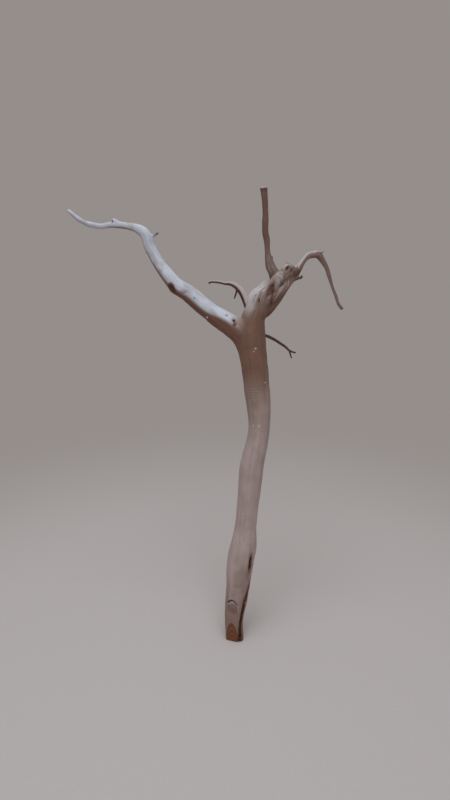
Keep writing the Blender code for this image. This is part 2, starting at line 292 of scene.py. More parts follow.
def pick(*items: bpy.types.Object) -> None:
    """Select objects and make the first one active."""
    deselect_all()
    for item in items:
        item.select_set(True)
    bpy.context.view_layer.objects.active = items[0]


def settle_place(item: bpy.types.Object) -> None:
    """Move an object's place, turn and size into its mesh."""
    pick(item)
    bpy.ops.object.transform_apply(location=True, rotation=True, scale=True)


def lay_rod(name: str, table: Array, sides: int = 6) -> bpy.types.Object:
    """Draw a path, give each of its points a width and make it a closed rod.

    Args:
        name: The new object's name.
        table: X, Y, Z and radius for each point.
        sides: Half the number of sides over one half turn.

    Returns:
        The rod, as a mesh with flat ends.
    """
    deselect_all()
    bpy.ops.curve.primitive_bezier_curve_add(radius=1, location=(0, 0, 0))
    item = bpy.context.object
    item.name = name
    curve = item.data
    curve.dimensions = "3D"
    curve.resolution_u = 3
    curve.bevel_depth = 1.0
    curve.bevel_resolution = sides
    curve.use_fill_caps = True
    line = curve.splines[0]
    line.bezier_points.add(len(table) - 2)
    for point, row in zip(line.bezier_points, table):
        point.co = row[:3]
        point.radius = row[3]
        point.handle_left_type = "AUTO"
        point.handle_right_type = "AUTO"
    pick(item)
    bpy.ops.object.convert(target="MESH")
    return bpy.context.object


def lay_course(name: str, course: Course, first: float = 0.0, last: float | None = None,
               swell: float = 0.0) -> bpy.types.Object:
    """Lay a rod along a stretch of a course, swollen by a distance."""
    end = course.last if last is None else last
    table = course.stretch(first, end, max(3, round((end - first) * 3) + 1))
    table[:, 3] += swell
    return lay_rod(name, table)


def lay_spur(name: str, root: Place, offset: Place, root_width: float,
             tip_width: float) -> bpy.types.Object:
    """Lay a short crooked side spur that grows from inside a branch.

    Args:
        name: The new object's name.
        root: Where the spur starts, inside the branch.
        offset: From the root to the tip.
        root_width: The spur's width at its root.
        tip_width: The spur's width at its tip.

    Returns:
        The spur.
    """
    start, along = np.array(root), np.array(offset)
    droop = np.array([0.0, 0.0, -0.06 * np.linalg.norm(along)])
    rows = [(*(start + along * share + droop * math.sin(math.pi * share)),
             (root_width + (tip_width - root_width) * share) / 2) for share in (0, 0.35, 0.7, 1)]
    return lay_rod(name, np.array(rows), 4)


def apply_modifier(item: bpy.types.Object, kind: str, **settings: object) -> None:
    """Add one modifier with its settings and apply it."""
    pick(item)
    modifier = item.modifiers.new(kind.lower(), kind)
    for key, value in settings.items():
        setattr(modifier, key, value)
    bpy.ops.object.modifier_apply(modifier=modifier.name)


def carve_out(item: bpy.types.Object, tool: bpy.types.Object) -> None:
    """Cut a tool's shape out of an object and throw the tool away."""
    apply_modifier(item, "BOOLEAN", operation="DIFFERENCE", object=tool, solver="EXACT")
    bpy.data.objects.remove(tool, do_unlink=True)


def one_skin(name: str, parts: Sequence[bpy.types.Object], fineness: float) -> bpy.types.Object:
    """Join rods and lumps into one closed skin.

    Args:
        name: The finished piece's name.
        parts: Closed shapes that overlap.
        fineness: The spacing of the skin's points.

    Returns:
        The piece, one closed surface.
    """
    pick(*parts)
    if len(parts) > 1:
        bpy.ops.object.join()
    item = bpy.context.object
    item.name = item.data.name = name
    apply_modifier(item, "REMESH", mode="VOXEL", voxel_size=fineness)
    return item


def saw(item: bpy.types.Object, point: Place, normal: Place) -> None:
    """Saw a piece flat at a plane, on the side that the normal points to."""
    pick(item)
    bpy.ops.object.mode_set(mode="EDIT")
    bpy.ops.mesh.select_all(action="SELECT")
    bpy.ops.mesh.bisect(plane_co=point, plane_no=normal, use_fill=True, clear_outer=True,
                        threshold=1e-6)
    bpy.ops.object.mode_set(mode="OBJECT")


# ---------------------------------------------------------------- carving
class MarkKind(Enum):
    """What a mark on the wood is."""

    HOLE = "hole"
    KNOT = "knot"
    DIMPLE = "dimple"
    BUMP = "bump"
    SPOT = "spot"


@dataclass(frozen=True)
class Mark:
    """One knot, hole, bump or stain, at the point of the skin nearest to its place."""

    kind: MarkKind
    place: Place
    wide: float
    tall: float
    deep: float = 0.0
    dark: float = 0.0
    stain: float = 0.0
    pale: float = 0.0
    turn: float = 0.0
    halo: float = 0.0


class Carving:
    """A piece's points held as arrays, pushed about by hand and written back."""

    # The bleaching mask holds sun-bleached wood and painted light on faces turned up. The dark mask holds
    # dark spots and painted shade in holes, creases and undersides. The pale mask holds pale wood and
    # painted highlights on lit edges.
    MASKS = ("bleach_and_top_light", "warm", "dark", "stain", "pale", "sawn")

    def __init__(self, piece: bpy.types.Object, spines: Sequence[Spine]) -> None:
        """Read the piece and find which branch each point belongs to.

        Args:
            piece: The skin to carve.
            spines: The branches that it holds.
        """
        self.piece = piece
        mesh = piece.data
        self.count = len(mesh.vertices)
        self.places = np.empty(self.count * 3)
        mesh.vertices.foreach_get("co", self.places)
        self.places = self.places.reshape(-1, 3)
        edges = np.empty(len(mesh.edges) * 2, dtype=np.int64)
        mesh.edges.foreach_get("vertices", edges)
        self.edges = edges.reshape(-1, 2)
        self.degree = np.bincount(edges, minlength=self.count).astype(float)
        self.masks = {name: np.zeros(self.count) for name in self.MASKS}
        self.owner = np.zeros(self.count, dtype=np.int64)
        self.straight = np.zeros((self.count, 3))
        closest = np.full(self.count, np.inf)
        self.shares: list[Array] = []
        self.sides: list[Array] = []
        for number, spine in enumerate(spines):
            straight, share = spine.straighten(self.places)
            self.shares.append(share)
            self.sides.append(straight[:, 0] / np.linalg.norm(straight[:, :2], axis=1) * share)
            better = share < closest
            self.straight[better] = straight[better]
            self.owner[better] = number
            closest = np.minimum(closest, share)
        self.read_normals()

    def read_normals(self) -> None:
        """Measure the outward direction at each point."""
        mesh = self.piece.data
        mesh.vertices.foreach_set("co", self.places.ravel())
        mesh.update()
        normals = np.empty(self.count * 3)
        mesh.vertices.foreach_get("normal", normals)
        self.normals = normals.reshape(-1, 3)

    def relax(self, rounds: int, weights: Array | float = 1.0) -> None:
        """Draw each point towards the middle of its neighbours.

        Args:
            rounds: How many times.
            weights: How strongly, from 0 to 1, for each point.
        """
        pull = (0.5 * np.broadcast_to(weights, self.count))[:, None]
        for _ in range(rounds):
            self.places += pull * (self.middles() - self.places)
        self.read_normals()

    def middles(self) -> Array:
        """The middle of each point's neighbours."""
        first, second = self.edges.T
        total = np.empty_like(self.places)
        for axis in range(3):
            values = self.places[:, axis]
            total[:, axis] = (np.bincount(first, values[second], self.count)
                              + np.bincount(second, values[first], self.count))
        return total / self.degree[:, None]

    def fill_creases(self, rounds: int, weights: Array) -> None:
        """Fill hollows between joined rods, as wood grows over them, and leave ridges alone.

        Args:
            rounds: How many times; more rounds make a wider fillet.
            weights: How strongly, from 0 to 1, for each point.
        """
        for turn in range(rounds):
            pull = ((self.middles() - self.places) * self.normals).sum(axis=1)
            self.places += self.normals * (np.clip(pull, 0, None) * weights)[:, None]
            if turn % 6 == 5:
                self.read_normals()
        self.read_normals()

    def hollowness(self, rounds: int) -> Array:
        """Measure in metres how far each point lies below its smoothed surroundings."""
        kept = self.places.copy()
        normals = self.normals.copy()
        self.relax(rounds)
        depth = ((self.places - kept) * normals).sum(axis=1)
        self.places = kept
        self.read_normals()
        return depth

    def push(self, amounts: Array) -> None:
        """Move each point along its outward direction."""
        self.places += self.normals * amounts[:, None]
        self.read_normals()

    def grainy(self, across: float, along: float, seed: int, octaves: int = 1) -> Array:
        """Noise that runs with the grain.

        Args:
            across: Cells to a metre across the grain.
            along: Cells to a metre along the grain.
            seed: Which noise field.
            octaves: How many layers.

        Returns:
            One value for each point.
        """
        return rough(self.straight * np.array([across, across, along]) + seed * 3.7, seed, octaves)

    def mottled(self, cells: float, seed: int, octaves: int = 1) -> Array:
        """Noise with no direction, `cells` to a metre."""
        return rough(self.places * cells + seed * 5.3, seed, octaves)

    def seen_at(self, place: Place) -> int:
        """Find the skin's nearest point on the line of sight through a place.

        Args:
            place: The place.

        Returns:
            The point's number.
        """
        sight = np.array(place) - np.array(EYE)
        sight = sight / np.linalg.norm(sight)
        offset = self.places - np.array(EYE)
        ahead = offset @ sight
        aside = np.linalg.norm(offset - ahead[:, None] * sight, axis=1)
        seen = np.flatnonzero(aside < max(1.0 * MM, 1.05 * aside.min()))
        return int(seen[ahead[seen].argmin()])

    def nearness(self, mark: Mark) -> Array:
        """How far each point is from a mark, in the mark's own half-widths.

        Args:
            mark: The mark.

        Returns:
            0 at its middle, 1 at its rim and more outside.
        """
        middle = self.seen_at(mark.place)
        outward = self.normals[middle]
        up = np.array([0.0, 0.0, 1.0]) - outward * outward[2]
        up = up / max(np.linalg.norm(up), 1e-9)
        side = np.cross(up, outward)
        offset = self.places - self.places[middle]
        turn = math.radians(mark.turn)
        sideways, upward = offset @ side, offset @ up
        x = sideways * math.cos(turn) + upward * math.sin(turn)
        y = upward * math.cos(turn) - sideways * math.sin(turn)
        through = (offset @ outward) / (1.2 * mark.wide + 0.3 * mark.tall)
        away = np.sqrt((2 * x / mark.wide) ** 2 + (2 * y / mark.tall) ** 2 + through ** 2)
        wobble = 1 + 0.16 * rough(self.places * (1.3 / mark.wide), 71)
        return away * wobble + 4.0 * ease(0.1, -0.3, self.normals @ outward)

    def around(self, place: Place, wide: float) -> Array:
        """Fall smoothly from 1 at a place to almost nothing at twice `wide` from it."""
        return hill(np.linalg.norm(self.places - np.array(place), axis=1), wide)

    def cut_marks(self, marks: Sequence[Mark]) -> None:
        """Carve each mark and colour it: its stains and dark spots are the wood's own colour, and the
        darkening of holes and dimples is painted shade.
        """
        shift = np.zeros(self.count)
        for mark in marks:
            away = self.nearness(mark)
            inside = ease(1.15, 0.55, away)
            if mark.kind is MarkKind.BUMP:
                shift += mark.deep * ease(1.0, 0.1, away)
            elif mark.kind is MarkKind.DIMPLE:
                shift -= mark.deep * ease(1.0, 0.0, away)
            elif mark.kind is MarkKind.KNOT:
                shift += mark.deep * (0.8 * hill(away - 1.05, 0.35) - 1.0 * inside)
            elif mark.kind is MarkKind.HOLE:
                shift -= mark.deep * inside
            # On holes and dimples this darkening is painted shade in the recess; on spots and knots it is
            # the wood's own colour.
            self.stain_with("dark", mark.dark * inside)
            self.stain_with("stain", mark.stain * ease(1.9, 0.8, away))
            self.stain_with("pale", mark.pale * ease(1.25, 0.6, away))
            if mark.halo:
                self.stain_with("stain", mark.halo * ease(3.2, 1.0, away))
        self.push(shift)

    def stain_with(self, name: str, amount: Array) -> None:
        """Lay more of a mask over what is there, never past 1."""
        mask = self.masks[name]
        self.masks[name] = 1 - (1 - mask) * (1 - np.clip(amount, 0, 1))

    def write(self) -> None:
        """Store the grain and the masks on the mesh."""
        mesh = self.piece.data
        grain = mesh.attributes.new("grain", "FLOAT_VECTOR", "POINT")
        grain.data.foreach_set("vector", self.straight.ravel())
        for name, mask in self.masks.items():
            layer = mesh.attributes.new(name, "FLOAT", "POINT")
            layer.data.foreach_set("value", np.clip(mask, 0, 1))
        mesh.update()


def smooth_shading(piece: bpy.types.Object, degrees: float = 42) -> None:
    """Shade a piece smooth, but for edges sharper than an angle."""
    pick(piece)
    bpy.ops.object.shade_smooth_by_angle(angle=math.radians(degrees))


# ---------------------------------------------------------------- finishes
class Nodes:
    """A short way to lay out one material's nodes."""

    def __init__(self, name: str) -> None:
        """Start a material with an empty principled shader."""
        self.material = bpy.data.materials.new(name)
        self.material.use_nodes = True
        self.tree = self.material.node_tree
        self.shader = self.tree.nodes["Principled BSDF"]
        self.place = self.tree.nodes.new("ShaderNodeTexCoord").outputs["Object"]

    def feed(self, socket: bpy.types.NodeSocket, value: object) -> None:
        """Link a node's output to a socket, or set the socket's number."""
        if isinstance(value, bpy.types.NodeSocket):
            self.tree.links.new(value, socket)
        elif isinstance(value, tuple) and len(value) == 3 and socket.type == "RGBA":
            socket.default_value = (*value, 1.0)
        else:
            socket.default_value = value

    def attribute(self, name: str, vector: bool = False) -> bpy.types.NodeSocket:
        """Read a mask, or the grain, from the mesh."""
        node = self.tree.nodes.new("ShaderNodeAttribute")
        node.attribute_name = name
        return node.outputs["Vector" if vector else "Fac"]

    def stretched(self, source: bpy.types.NodeSocket, scale: Place,
                  shift: Place = (0, 0, 0)) -> bpy.types.NodeSocket:
        """Stretch and shift a coordinate."""
        node = self.tree.nodes.new("ShaderNodeMapping")
        self.feed(node.inputs["Vector"], source)
        node.inputs["Scale"].default_value = scale
        node.inputs["Location"].default_value = shift
        return node.outputs["Vector"]

    def noise(self, source: bpy.types.NodeSocket, scale: float, detail: float = 3.0,
              rough_share: float = 0.55, distort: float = 0.0) -> bpy.types.NodeSocket:
        """Noise over a coordinate, from 0 to 1."""
        node = self.tree.nodes.new("ShaderNodeTexNoise")
        self.feed(node.inputs["Vector"], source)
        node.inputs["Scale"].default_value = scale
        node.inputs["Detail"].default_value = detail
        node.inputs["Roughness"].default_value = rough_share
        node.inputs["Distortion"].default_value = distort
        return node.outputs["Fac"]

    def step(self, value: bpy.types.NodeSocket, low: float, high: float, start: float = 0.0,
             end: float = 1.0) -> bpy.types.NodeSocket:
        """Map a range of values smoothly onto another."""
        node = self.tree.nodes.new("ShaderNodeMapRange")
        node.interpolation_type = "SMOOTHSTEP"
        self.feed(node.inputs["Value"], value)
        for socket, number in zip(("From Min", "From Max", "To Min", "To Max"),
                                  (low, high, start, end)):
            node.inputs[socket].default_value = number
        return node.outputs["Result"]

    def sum(self, operation: str, first: object, second: object) -> bpy.types.NodeSocket:
        """Combine two numbers."""
        node = self.tree.nodes.new("ShaderNodeMath")
        node.operation = operation
        self.feed(node.inputs[0], first)
        self.feed(node.inputs[1], second)
        return node.outputs[0]

    def mix(self, share: object, first: object, second: object,
            blend: str = "MIX") -> bpy.types.NodeSocket:
        """Mix two colours by a share."""
        node = self.tree.nodes.new("ShaderNodeMix")
        node.data_type = "RGBA"
        node.blend_type = blend
        sockets = [socket for socket in node.inputs if socket.enabled]
        self.feed(sockets[0], share)
        self.feed(sockets[1], first)
        self.feed(sockets[2], second)
        return next(socket for socket in node.outputs if socket.enabled)

    def bump(self, height: bpy.types.NodeSocket, strength: float,
             distance: float) -> bpy.types.NodeSocket:
        """Turn a height into small relief."""
        node = self.tree.nodes.new("ShaderNodeBump")
        node.inputs["Strength"].default_value = strength
        node.inputs["Distance"].default_value = distance
        self.feed(node.inputs["Height"], height)
        return node.outputs["Normal"]


@dataclass(frozen=True)
class DriftWood:
    """Weathered branch wood: grey where it is old, brown in its warmer parts and, as painted shade, in its
    creases, white where it bleached. The white also stands for painted light on faces turned up and for
    painted highlights on lit edges. The near-black stands for dark spots and for painted shade in holes,
    creases and undersides.
    """

    name: str
    grey: Colour = (0.550, 0.443, 0.418)
    brown: Colour = (0.235, 0.128, 0.093)
    white: Colour = (0.700, 0.665, 0.665)
    rust: Colour = (0.150, 0.050, 0.026)
    # Near-black for dark spots in the wood and for painted shade in holes, creases and undersides.
    dark_spot_and_shade: Colour = (0.018, 0.009, 0.008)
    end_grain: Colour = (0.300, 0.118, 0.050)
    streak: float = 0.10
    roughness: float = 0.68

    def make(self) -> bpy.types.Material:
        """Lay out the wood's nodes.

        Returns:
            The material.
        """
        n = Nodes(self.name)
        grain = n.attribute("grain", vector=True)
        fibres = n.noise(n.stretched(grain, (900, 900, 22)), 1.0, 4.0, 0.6)
        bands = n.noise(n.stretched(grain, (240, 240, 9)), 1.0, 3.0, 0.55, 0.4)
        blotch = n.noise(n.place, 42, 3.0, 0.55)
        flecks = n.noise(n.place, 900, 2.0, 0.5)
        colour = n.mix(n.attribute("warm"), self.grey, self.brown)
        # The bleaching mask lays white for sun-bleached wood and, on faces turned up, as painted light
        # from above.
        colour = n.mix(n.attribute("bleach_and_top_light"), colour, self.white)
        light = n.step(bands, 0.28, 0.75, 1 - self.streak, 1 + self.streak * 0.6)
        light = n.sum("MULTIPLY", light, n.step(fibres, 0.25, 0.75, 0.92, 1.07))
        light = n.sum("MULTIPLY", light, n.step(blotch, 0.25, 0.75, 0.90, 1.08))
        light = n.sum("MULTIPLY", light, n.step(flecks, 0.2, 0.8, 0.93, 1.06))
        tone = n.tree.nodes.new("ShaderNodeCombineColor")
        for socket in ("Red", "Green", "Blue"):
            n.feed(tone.inputs[socket], light)
        colour = n.mix(1.0, colour, tone.outputs["Color"], "MULTIPLY")
        rings = n.tree.nodes.new("ShaderNodeTexWave")
        rings.wave_type = "RINGS"
        rings.rings_direction = "Z"
        n.feed(rings.inputs["Vector"], grain)
        rings.inputs["Scale"].default_value = 210
        rings.inputs["Distortion"].default_value = 1.2
        rings.inputs["Detail"].default_value = 2
        ends = n.mix(n.step(rings.outputs["Fac"], 0.1, 0.9, 0.0, 0.6), self.end_grain,
                     tuple(part * 0.45 for part in self.end_grain))
        colour = n.mix(n.attribute("sawn"), colour, ends)
        stain = n.sum("MULTIPLY", n.attribute("stain"), n.step(bands, 0.2, 0.6, 0.75, 1.0))
        colour = n.mix(stain, colour, self.rust)
        # The pale mask lays white for pale wood and for painted highlights on lit edges and ridges.
        colour = n.mix(n.attribute("pale"), colour, self.white)
        # The dark mask lays near-black for dark spots and for painted shade.
        colour = n.mix(n.attribute("dark"), colour, self.dark_spot_and_shade)
        n.feed(n.shader.inputs["Base Color"], colour)
        n.feed(n.shader.inputs["Roughness"],
               n.step(fibres, 0.2, 0.8, self.roughness - 0.08, self.roughness + 0.14))
        n.shader.inputs["Specular IOR Level"].default_value = 0.32
        height = n.sum("ADD", n.sum("MULTIPLY", fibres, 0.55), n.sum("MULTIPLY", flecks, 0.25))
        height = n.sum("ADD", height, n.sum("MULTIPLY", bands, 0.6))
        n.feed(n.shader.inputs["Normal"], n.bump(height, 0.32, 0.0006))
        return n.material


@dataclass(frozen=True)
class OldBark:
    """The dark flaking bark that stays in the seam."""

    name: str = "old_bark"
    face: Colour = (0.190, 0.062, 0.026)
    deep: Colour = (0.020, 0.008, 0.008)

    def make(self) -> bpy.types.Material:
        """Lay out the bark's nodes."""
        n = Nodes(self.name)
        plates = n.noise(n.stretched(n.place, (900, 900, 220)), 1.0, 4.0, 0.6, 0.6)
        dust = n.noise(n.place, 1400, 3.0)
        colour = n.mix(n.step(plates, 0.30, 0.55), self.deep, self.face)
        colour = n.mix(n.step(dust, 0.55, 0.8, 0, 0.35), colour, (0.22, 0.12, 0.08))
        colour = n.mix(n.attribute("dark"), colour, self.deep)
        n.feed(n.shader.inputs["Base Color"], colour)
        n.feed(n.shader.inputs["Roughness"], n.step(dust, 0.2, 0.8, 0.78, 0.95))
        n.shader.inputs["Specular IOR Level"].default_value = 0.25
        n.feed(n.shader.inputs["Normal"], n.bump(plates, 0.7, 0.0008))
        return n.material


@dataclass(frozen=True)
class TurnedDowel:
    """Planed straight-grained dowel wood, hidden in its joint."""

    name: str
    heading: Place
    face: Colour = (0.56, 0.38, 0.22)
    late: Colour = (0.36, 0.21, 0.11)

    def make(self) -> bpy.types.Material:
        """Lay out the dowel's nodes, its lines turned to run along the rod."""
        n = Nodes(self.name)
        node = n.tree.nodes.new("ShaderNodeMapping")
        n.feed(node.inputs["Vector"], n.place)
        turn = Vector(self.heading).rotation_difference(Vector((0, 0, 1))).to_euler()
        node.inputs["Rotation"].default_value = turn
        along = n.stretched(node.outputs["Vector"], (2200, 2200, 60))
        lines = n.noise(along, 1.0, 3.0, 0.5)
        pores = n.noise(n.stretched(node.outputs["Vector"], (5200, 5200, 420)), 1.0, 2.0)
        colour = n.mix(n.step(lines, 0.35, 0.7), self.face, self.late)
        colour = n.mix(n.step(pores, 0.62, 0.75, 0, 0.5), colour, (0.20, 0.11, 0.06))
        n.feed(n.shader.inputs["Base Color"], colour)
        n.feed(n.shader.inputs["Roughness"], n.step(lines, 0.2, 0.8, 0.5, 0.64))
        n.feed(n.shader.inputs["Normal"], n.bump(pores, 0.3, 0.0002))
        return n.material


@dataclass(frozen=True)
class DullSteel:
    """A driven brad, gone dull and brown in the wood."""

    name: str = "dull_brad_steel"

    def make(self) -> bpy.types.Material:
        """Lay out the steel's nodes."""
        n = Nodes(self.name)
        rust = n.noise(n.place, 1600, 4.0, 0.6)
        scratches = n.noise(n.stretched(n.place, (3000, 3000, 300)), 1.0, 2.0)
        colour = n.mix(n.step(rust, 0.42, 0.62), (0.16, 0.15, 0.145), (0.11, 0.045, 0.02))
        n.feed(n.shader.inputs["Base Color"], colour)
        n.feed(n.shader.inputs["Metallic"], n.step(rust, 0.45, 0.6, 1.0, 0.1))
        n.feed(n.shader.inputs["Roughness"], n.step(scratches, 0.2, 0.8, 0.38, 0.7))
        n.feed(n.shader.inputs["Normal"], n.bump(rust, 0.35, 0.0001))
        return n.material


# ---------------------------------------------------------------- the tree's own pieces
def settle_on_frame(piece: bpy.types.Object, material: bpy.types.Material, node: str) -> None:
    """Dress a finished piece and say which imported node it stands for.

    Args:
        piece: The finished piece.
        material: Its finish.
        node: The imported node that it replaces.
    """
    piece.data.materials.clear()
    piece.data.materials.append(material)
    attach(piece, BODY)
    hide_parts(node)
    low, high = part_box(node)
    log.info("%s: %d faces, node %s spans %.0f mm", piece.name, len(piece.data.polygons), node,
             1000 * (Vector(high) - Vector(low)).length)


def bleach_and_light_from_above(carving: Carving, bleach_and_light_from: float, bleach_and_light_to: float, seed: int) -> None:
    """Lighten what faces the sky, partly as sun-bleached wood and partly as painted light from above, and
    leave the underside brown.

    Args:
        carving: The piece.
        bleach_and_light_from: The upward tilt where the bleaching and the painted light start.
        bleach_and_light_to: The upward tilt where they are full.
        seed: Which noise breaks the edge.
    """
    tilt = carving.normals[:, 2] + 0.16 * carving.grainy(260, 45, seed, 2)
    # Lighter where the wood faces up: partly sun-bleached wood, partly painted light from above.
    carving.stain_with("bleach_and_top_light", ease(bleach_and_light_from, bleach_and_light_to, tilt))


def roughen(carving: Carving, lumps: float, ridges: float, fibres: float, seed: int) -> None:
    """Give a smooth rod the unevenness of a grown branch.

    Args:
        carving: The piece.
        lumps: How far broad lumps stand out.
        ridges: How far long ridges stand out.
        fibres: How far raised fibres stand out.
        seed: Which noise is read.
    """
    broad = carving.mottled(60, seed, 2)
    long_ridges = carving.grainy(170, 10, seed + 1, 2)
    fine = carving.grainy(650, 24, seed + 2, 2)
    carving.push(lumps * broad + ridges * long_ridges + fibres * fine)
    groove = ease(-0.35, -0.8, long_ridges)
    carving.stain_with("warm", 0.20 * groove)


class Part(Enum):
    """The pieces that the grown-together wood is parted into, with the node each stands for."""

    TRUNK = 0
    LEFT = 1
    STEM = 2
    STUB = 3
    RIGHT = 4


@dataclass(frozen=True)
class PieceFacts:
    """What a parted piece is called, what it stands for and what it is made of."""

    name: str
    node: str
    slot: str


PIECES = {
    Part.TRUNK: PieceFacts("trunk_timber", "trunk", "bare_wood"),
    Part.LEFT: PieceFacts("left_limb_timber", "left_limb", "bleached_wood"),
    Part.STEM: PieceFacts("upright_stem_timber", "upright_stem", "bare_wood"),
    Part.STUB: PieceFacts("broken_stub_timber", "broken_stub", "bare_wood"),
    Part.RIGHT: PieceFacts("right_limb_timber", "right_limb", "bare_wood"),
}


class Parting:
    """Parts one carved skin into closed pieces along the lines where the branches meet."""

    def __init__(self, skin: bpy.types.Object, labels: Array) -> None:
        """Give every face the branch that most of its corners belong to.

        Args:
            skin: The carved skin, all in quads and triangles.
            labels: The branch number of each point.
        """
        self.skin = skin
        mesh = skin.data
        totals = np.empty(len(mesh.polygons), dtype=np.int64)
        mesh.polygons.foreach_get("loop_total", totals)
        corners = np.empty(len(mesh.loops), dtype=np.int64)
        mesh.loops.foreach_get("vertex_index", corners)
        owners = np.repeat(np.arange(len(totals)), totals)
        votes = np.zeros((len(totals), len(Part)))
        np.add.at(votes, (owners, labels[corners]), 1)
        self.corners, self.owners = corners, owners
        self.faces = votes.argmax(axis=1)
        self.count = len(mesh.vertices)
        edge_of = np.empty(len(mesh.loops), dtype=np.int64)
        mesh.loops.foreach_get("edge_index", edge_of)
        order = edge_of.argsort(kind="stable")
        self.pairs = owners[order].reshape(-1, 2)
        ends = np.empty(len(mesh.edges) * 2, dtype=np.int64)
        mesh.edges.foreach_get("vertices", ends)
        self.ends = ends.reshape(-1, 2)
        self.clean()

    def clean(self) -> None:
        """Drop loose islands and pinched corners, so that each piece closes well."""
        for part in range(1, len(Part)):
            self.drop_islands(part)
        for _ in range(30):
            moved = 0
            for part in range(len(Part)):
                inside = self.faces[self.pairs] == part
                rim = inside[:, 0] != inside[:, 1]
                visits = np.bincount(self.ends[rim].ravel(), minlength=self.count)
                pinched = np.flatnonzero(visits > 2)
                for point in pinched:
                    around = self.owners[self.corners == point]
                    self.faces[around] = min(self.faces[around])
                    moved += 1
            if not moved:
                return

    def drop_islands(self, part: int) -> None:
        """Keep a branch's largest patch and give its other patches to the trunk."""
        inside = self.faces == part
        links: dict[int, list[int]] = {int(face): [] for face in np.flatnonzero(inside)}
        both = inside[self.pairs].all(axis=1)
        for first, second in self.pairs[both]:
            links[int(first)].append(int(second))
            links[int(second)].append(int(first))
        seen: set[int] = set()
        patches: list[list[int]] = []
        for face in links:
            if face in seen:
                continue
            patch, queue = [], [face]
            seen.add(face)
            while queue:
                here = queue.pop()
                patch.append(here)
                for other in links[here]:
                    if other not in seen:
                        seen.add(other)
                        queue.append(other)
            patches.append(patch)
        for patch in sorted(patches, key=len)[:-1]:
            self.faces[patch] = Part.TRUNK.value

    def take(self, part: Part) -> bpy.types.Object:
        """Copy one branch's faces and close them inside the wood.

        Args:
            part: The branch.

        Returns:
            The closed piece.
        """
        pick(self.skin)
        bpy.ops.object.duplicate()
        piece = bpy.context.object
        piece.name = piece.data.name = PIECES[part].name
        shape = bmesh.new()
        shape.from_mesh(piece.data)
        shape.faces.ensure_lookup_table()
        doomed = [face for face, label in zip(shape.faces, self.faces) if label != part.value]
        bmesh.ops.delete(shape, geom=doomed, context="FACES")
        for rim in self.rims(shape):
            middle = sum((edge.verts[0].co + edge.verts[1].co for edge in rim), Vector()) / (2 * len(rim))
            centre = shape.verts.new(middle)
            for edge in rim:
                loop = edge.link_loops[0]
                first, second = loop.link_loop_next.vert, loop.vert
                shape.faces.new((first, second, centre))
        shape.to_mesh(piece.data)
        shape.free()
        return piece

    def rims(self, shape: bmesh.types.BMesh) -> list[list[bmesh.types.BMEdge]]:
        """Group a shape's open edges into rings."""
        open_edges = {edge for edge in shape.edges if edge.is_boundary}
        rings = []
        while open_edges:
            queue = [open_edges.pop()]
            ring = []
            while queue:
                edge = queue.pop()
                ring.append(edge)
                for vertex in edge.verts:
                    for other in vertex.link_edges:
                        if other in open_edges:
                            open_edges.discard(other)
                            queue.append(other)
            rings.append(ring)
        return rings


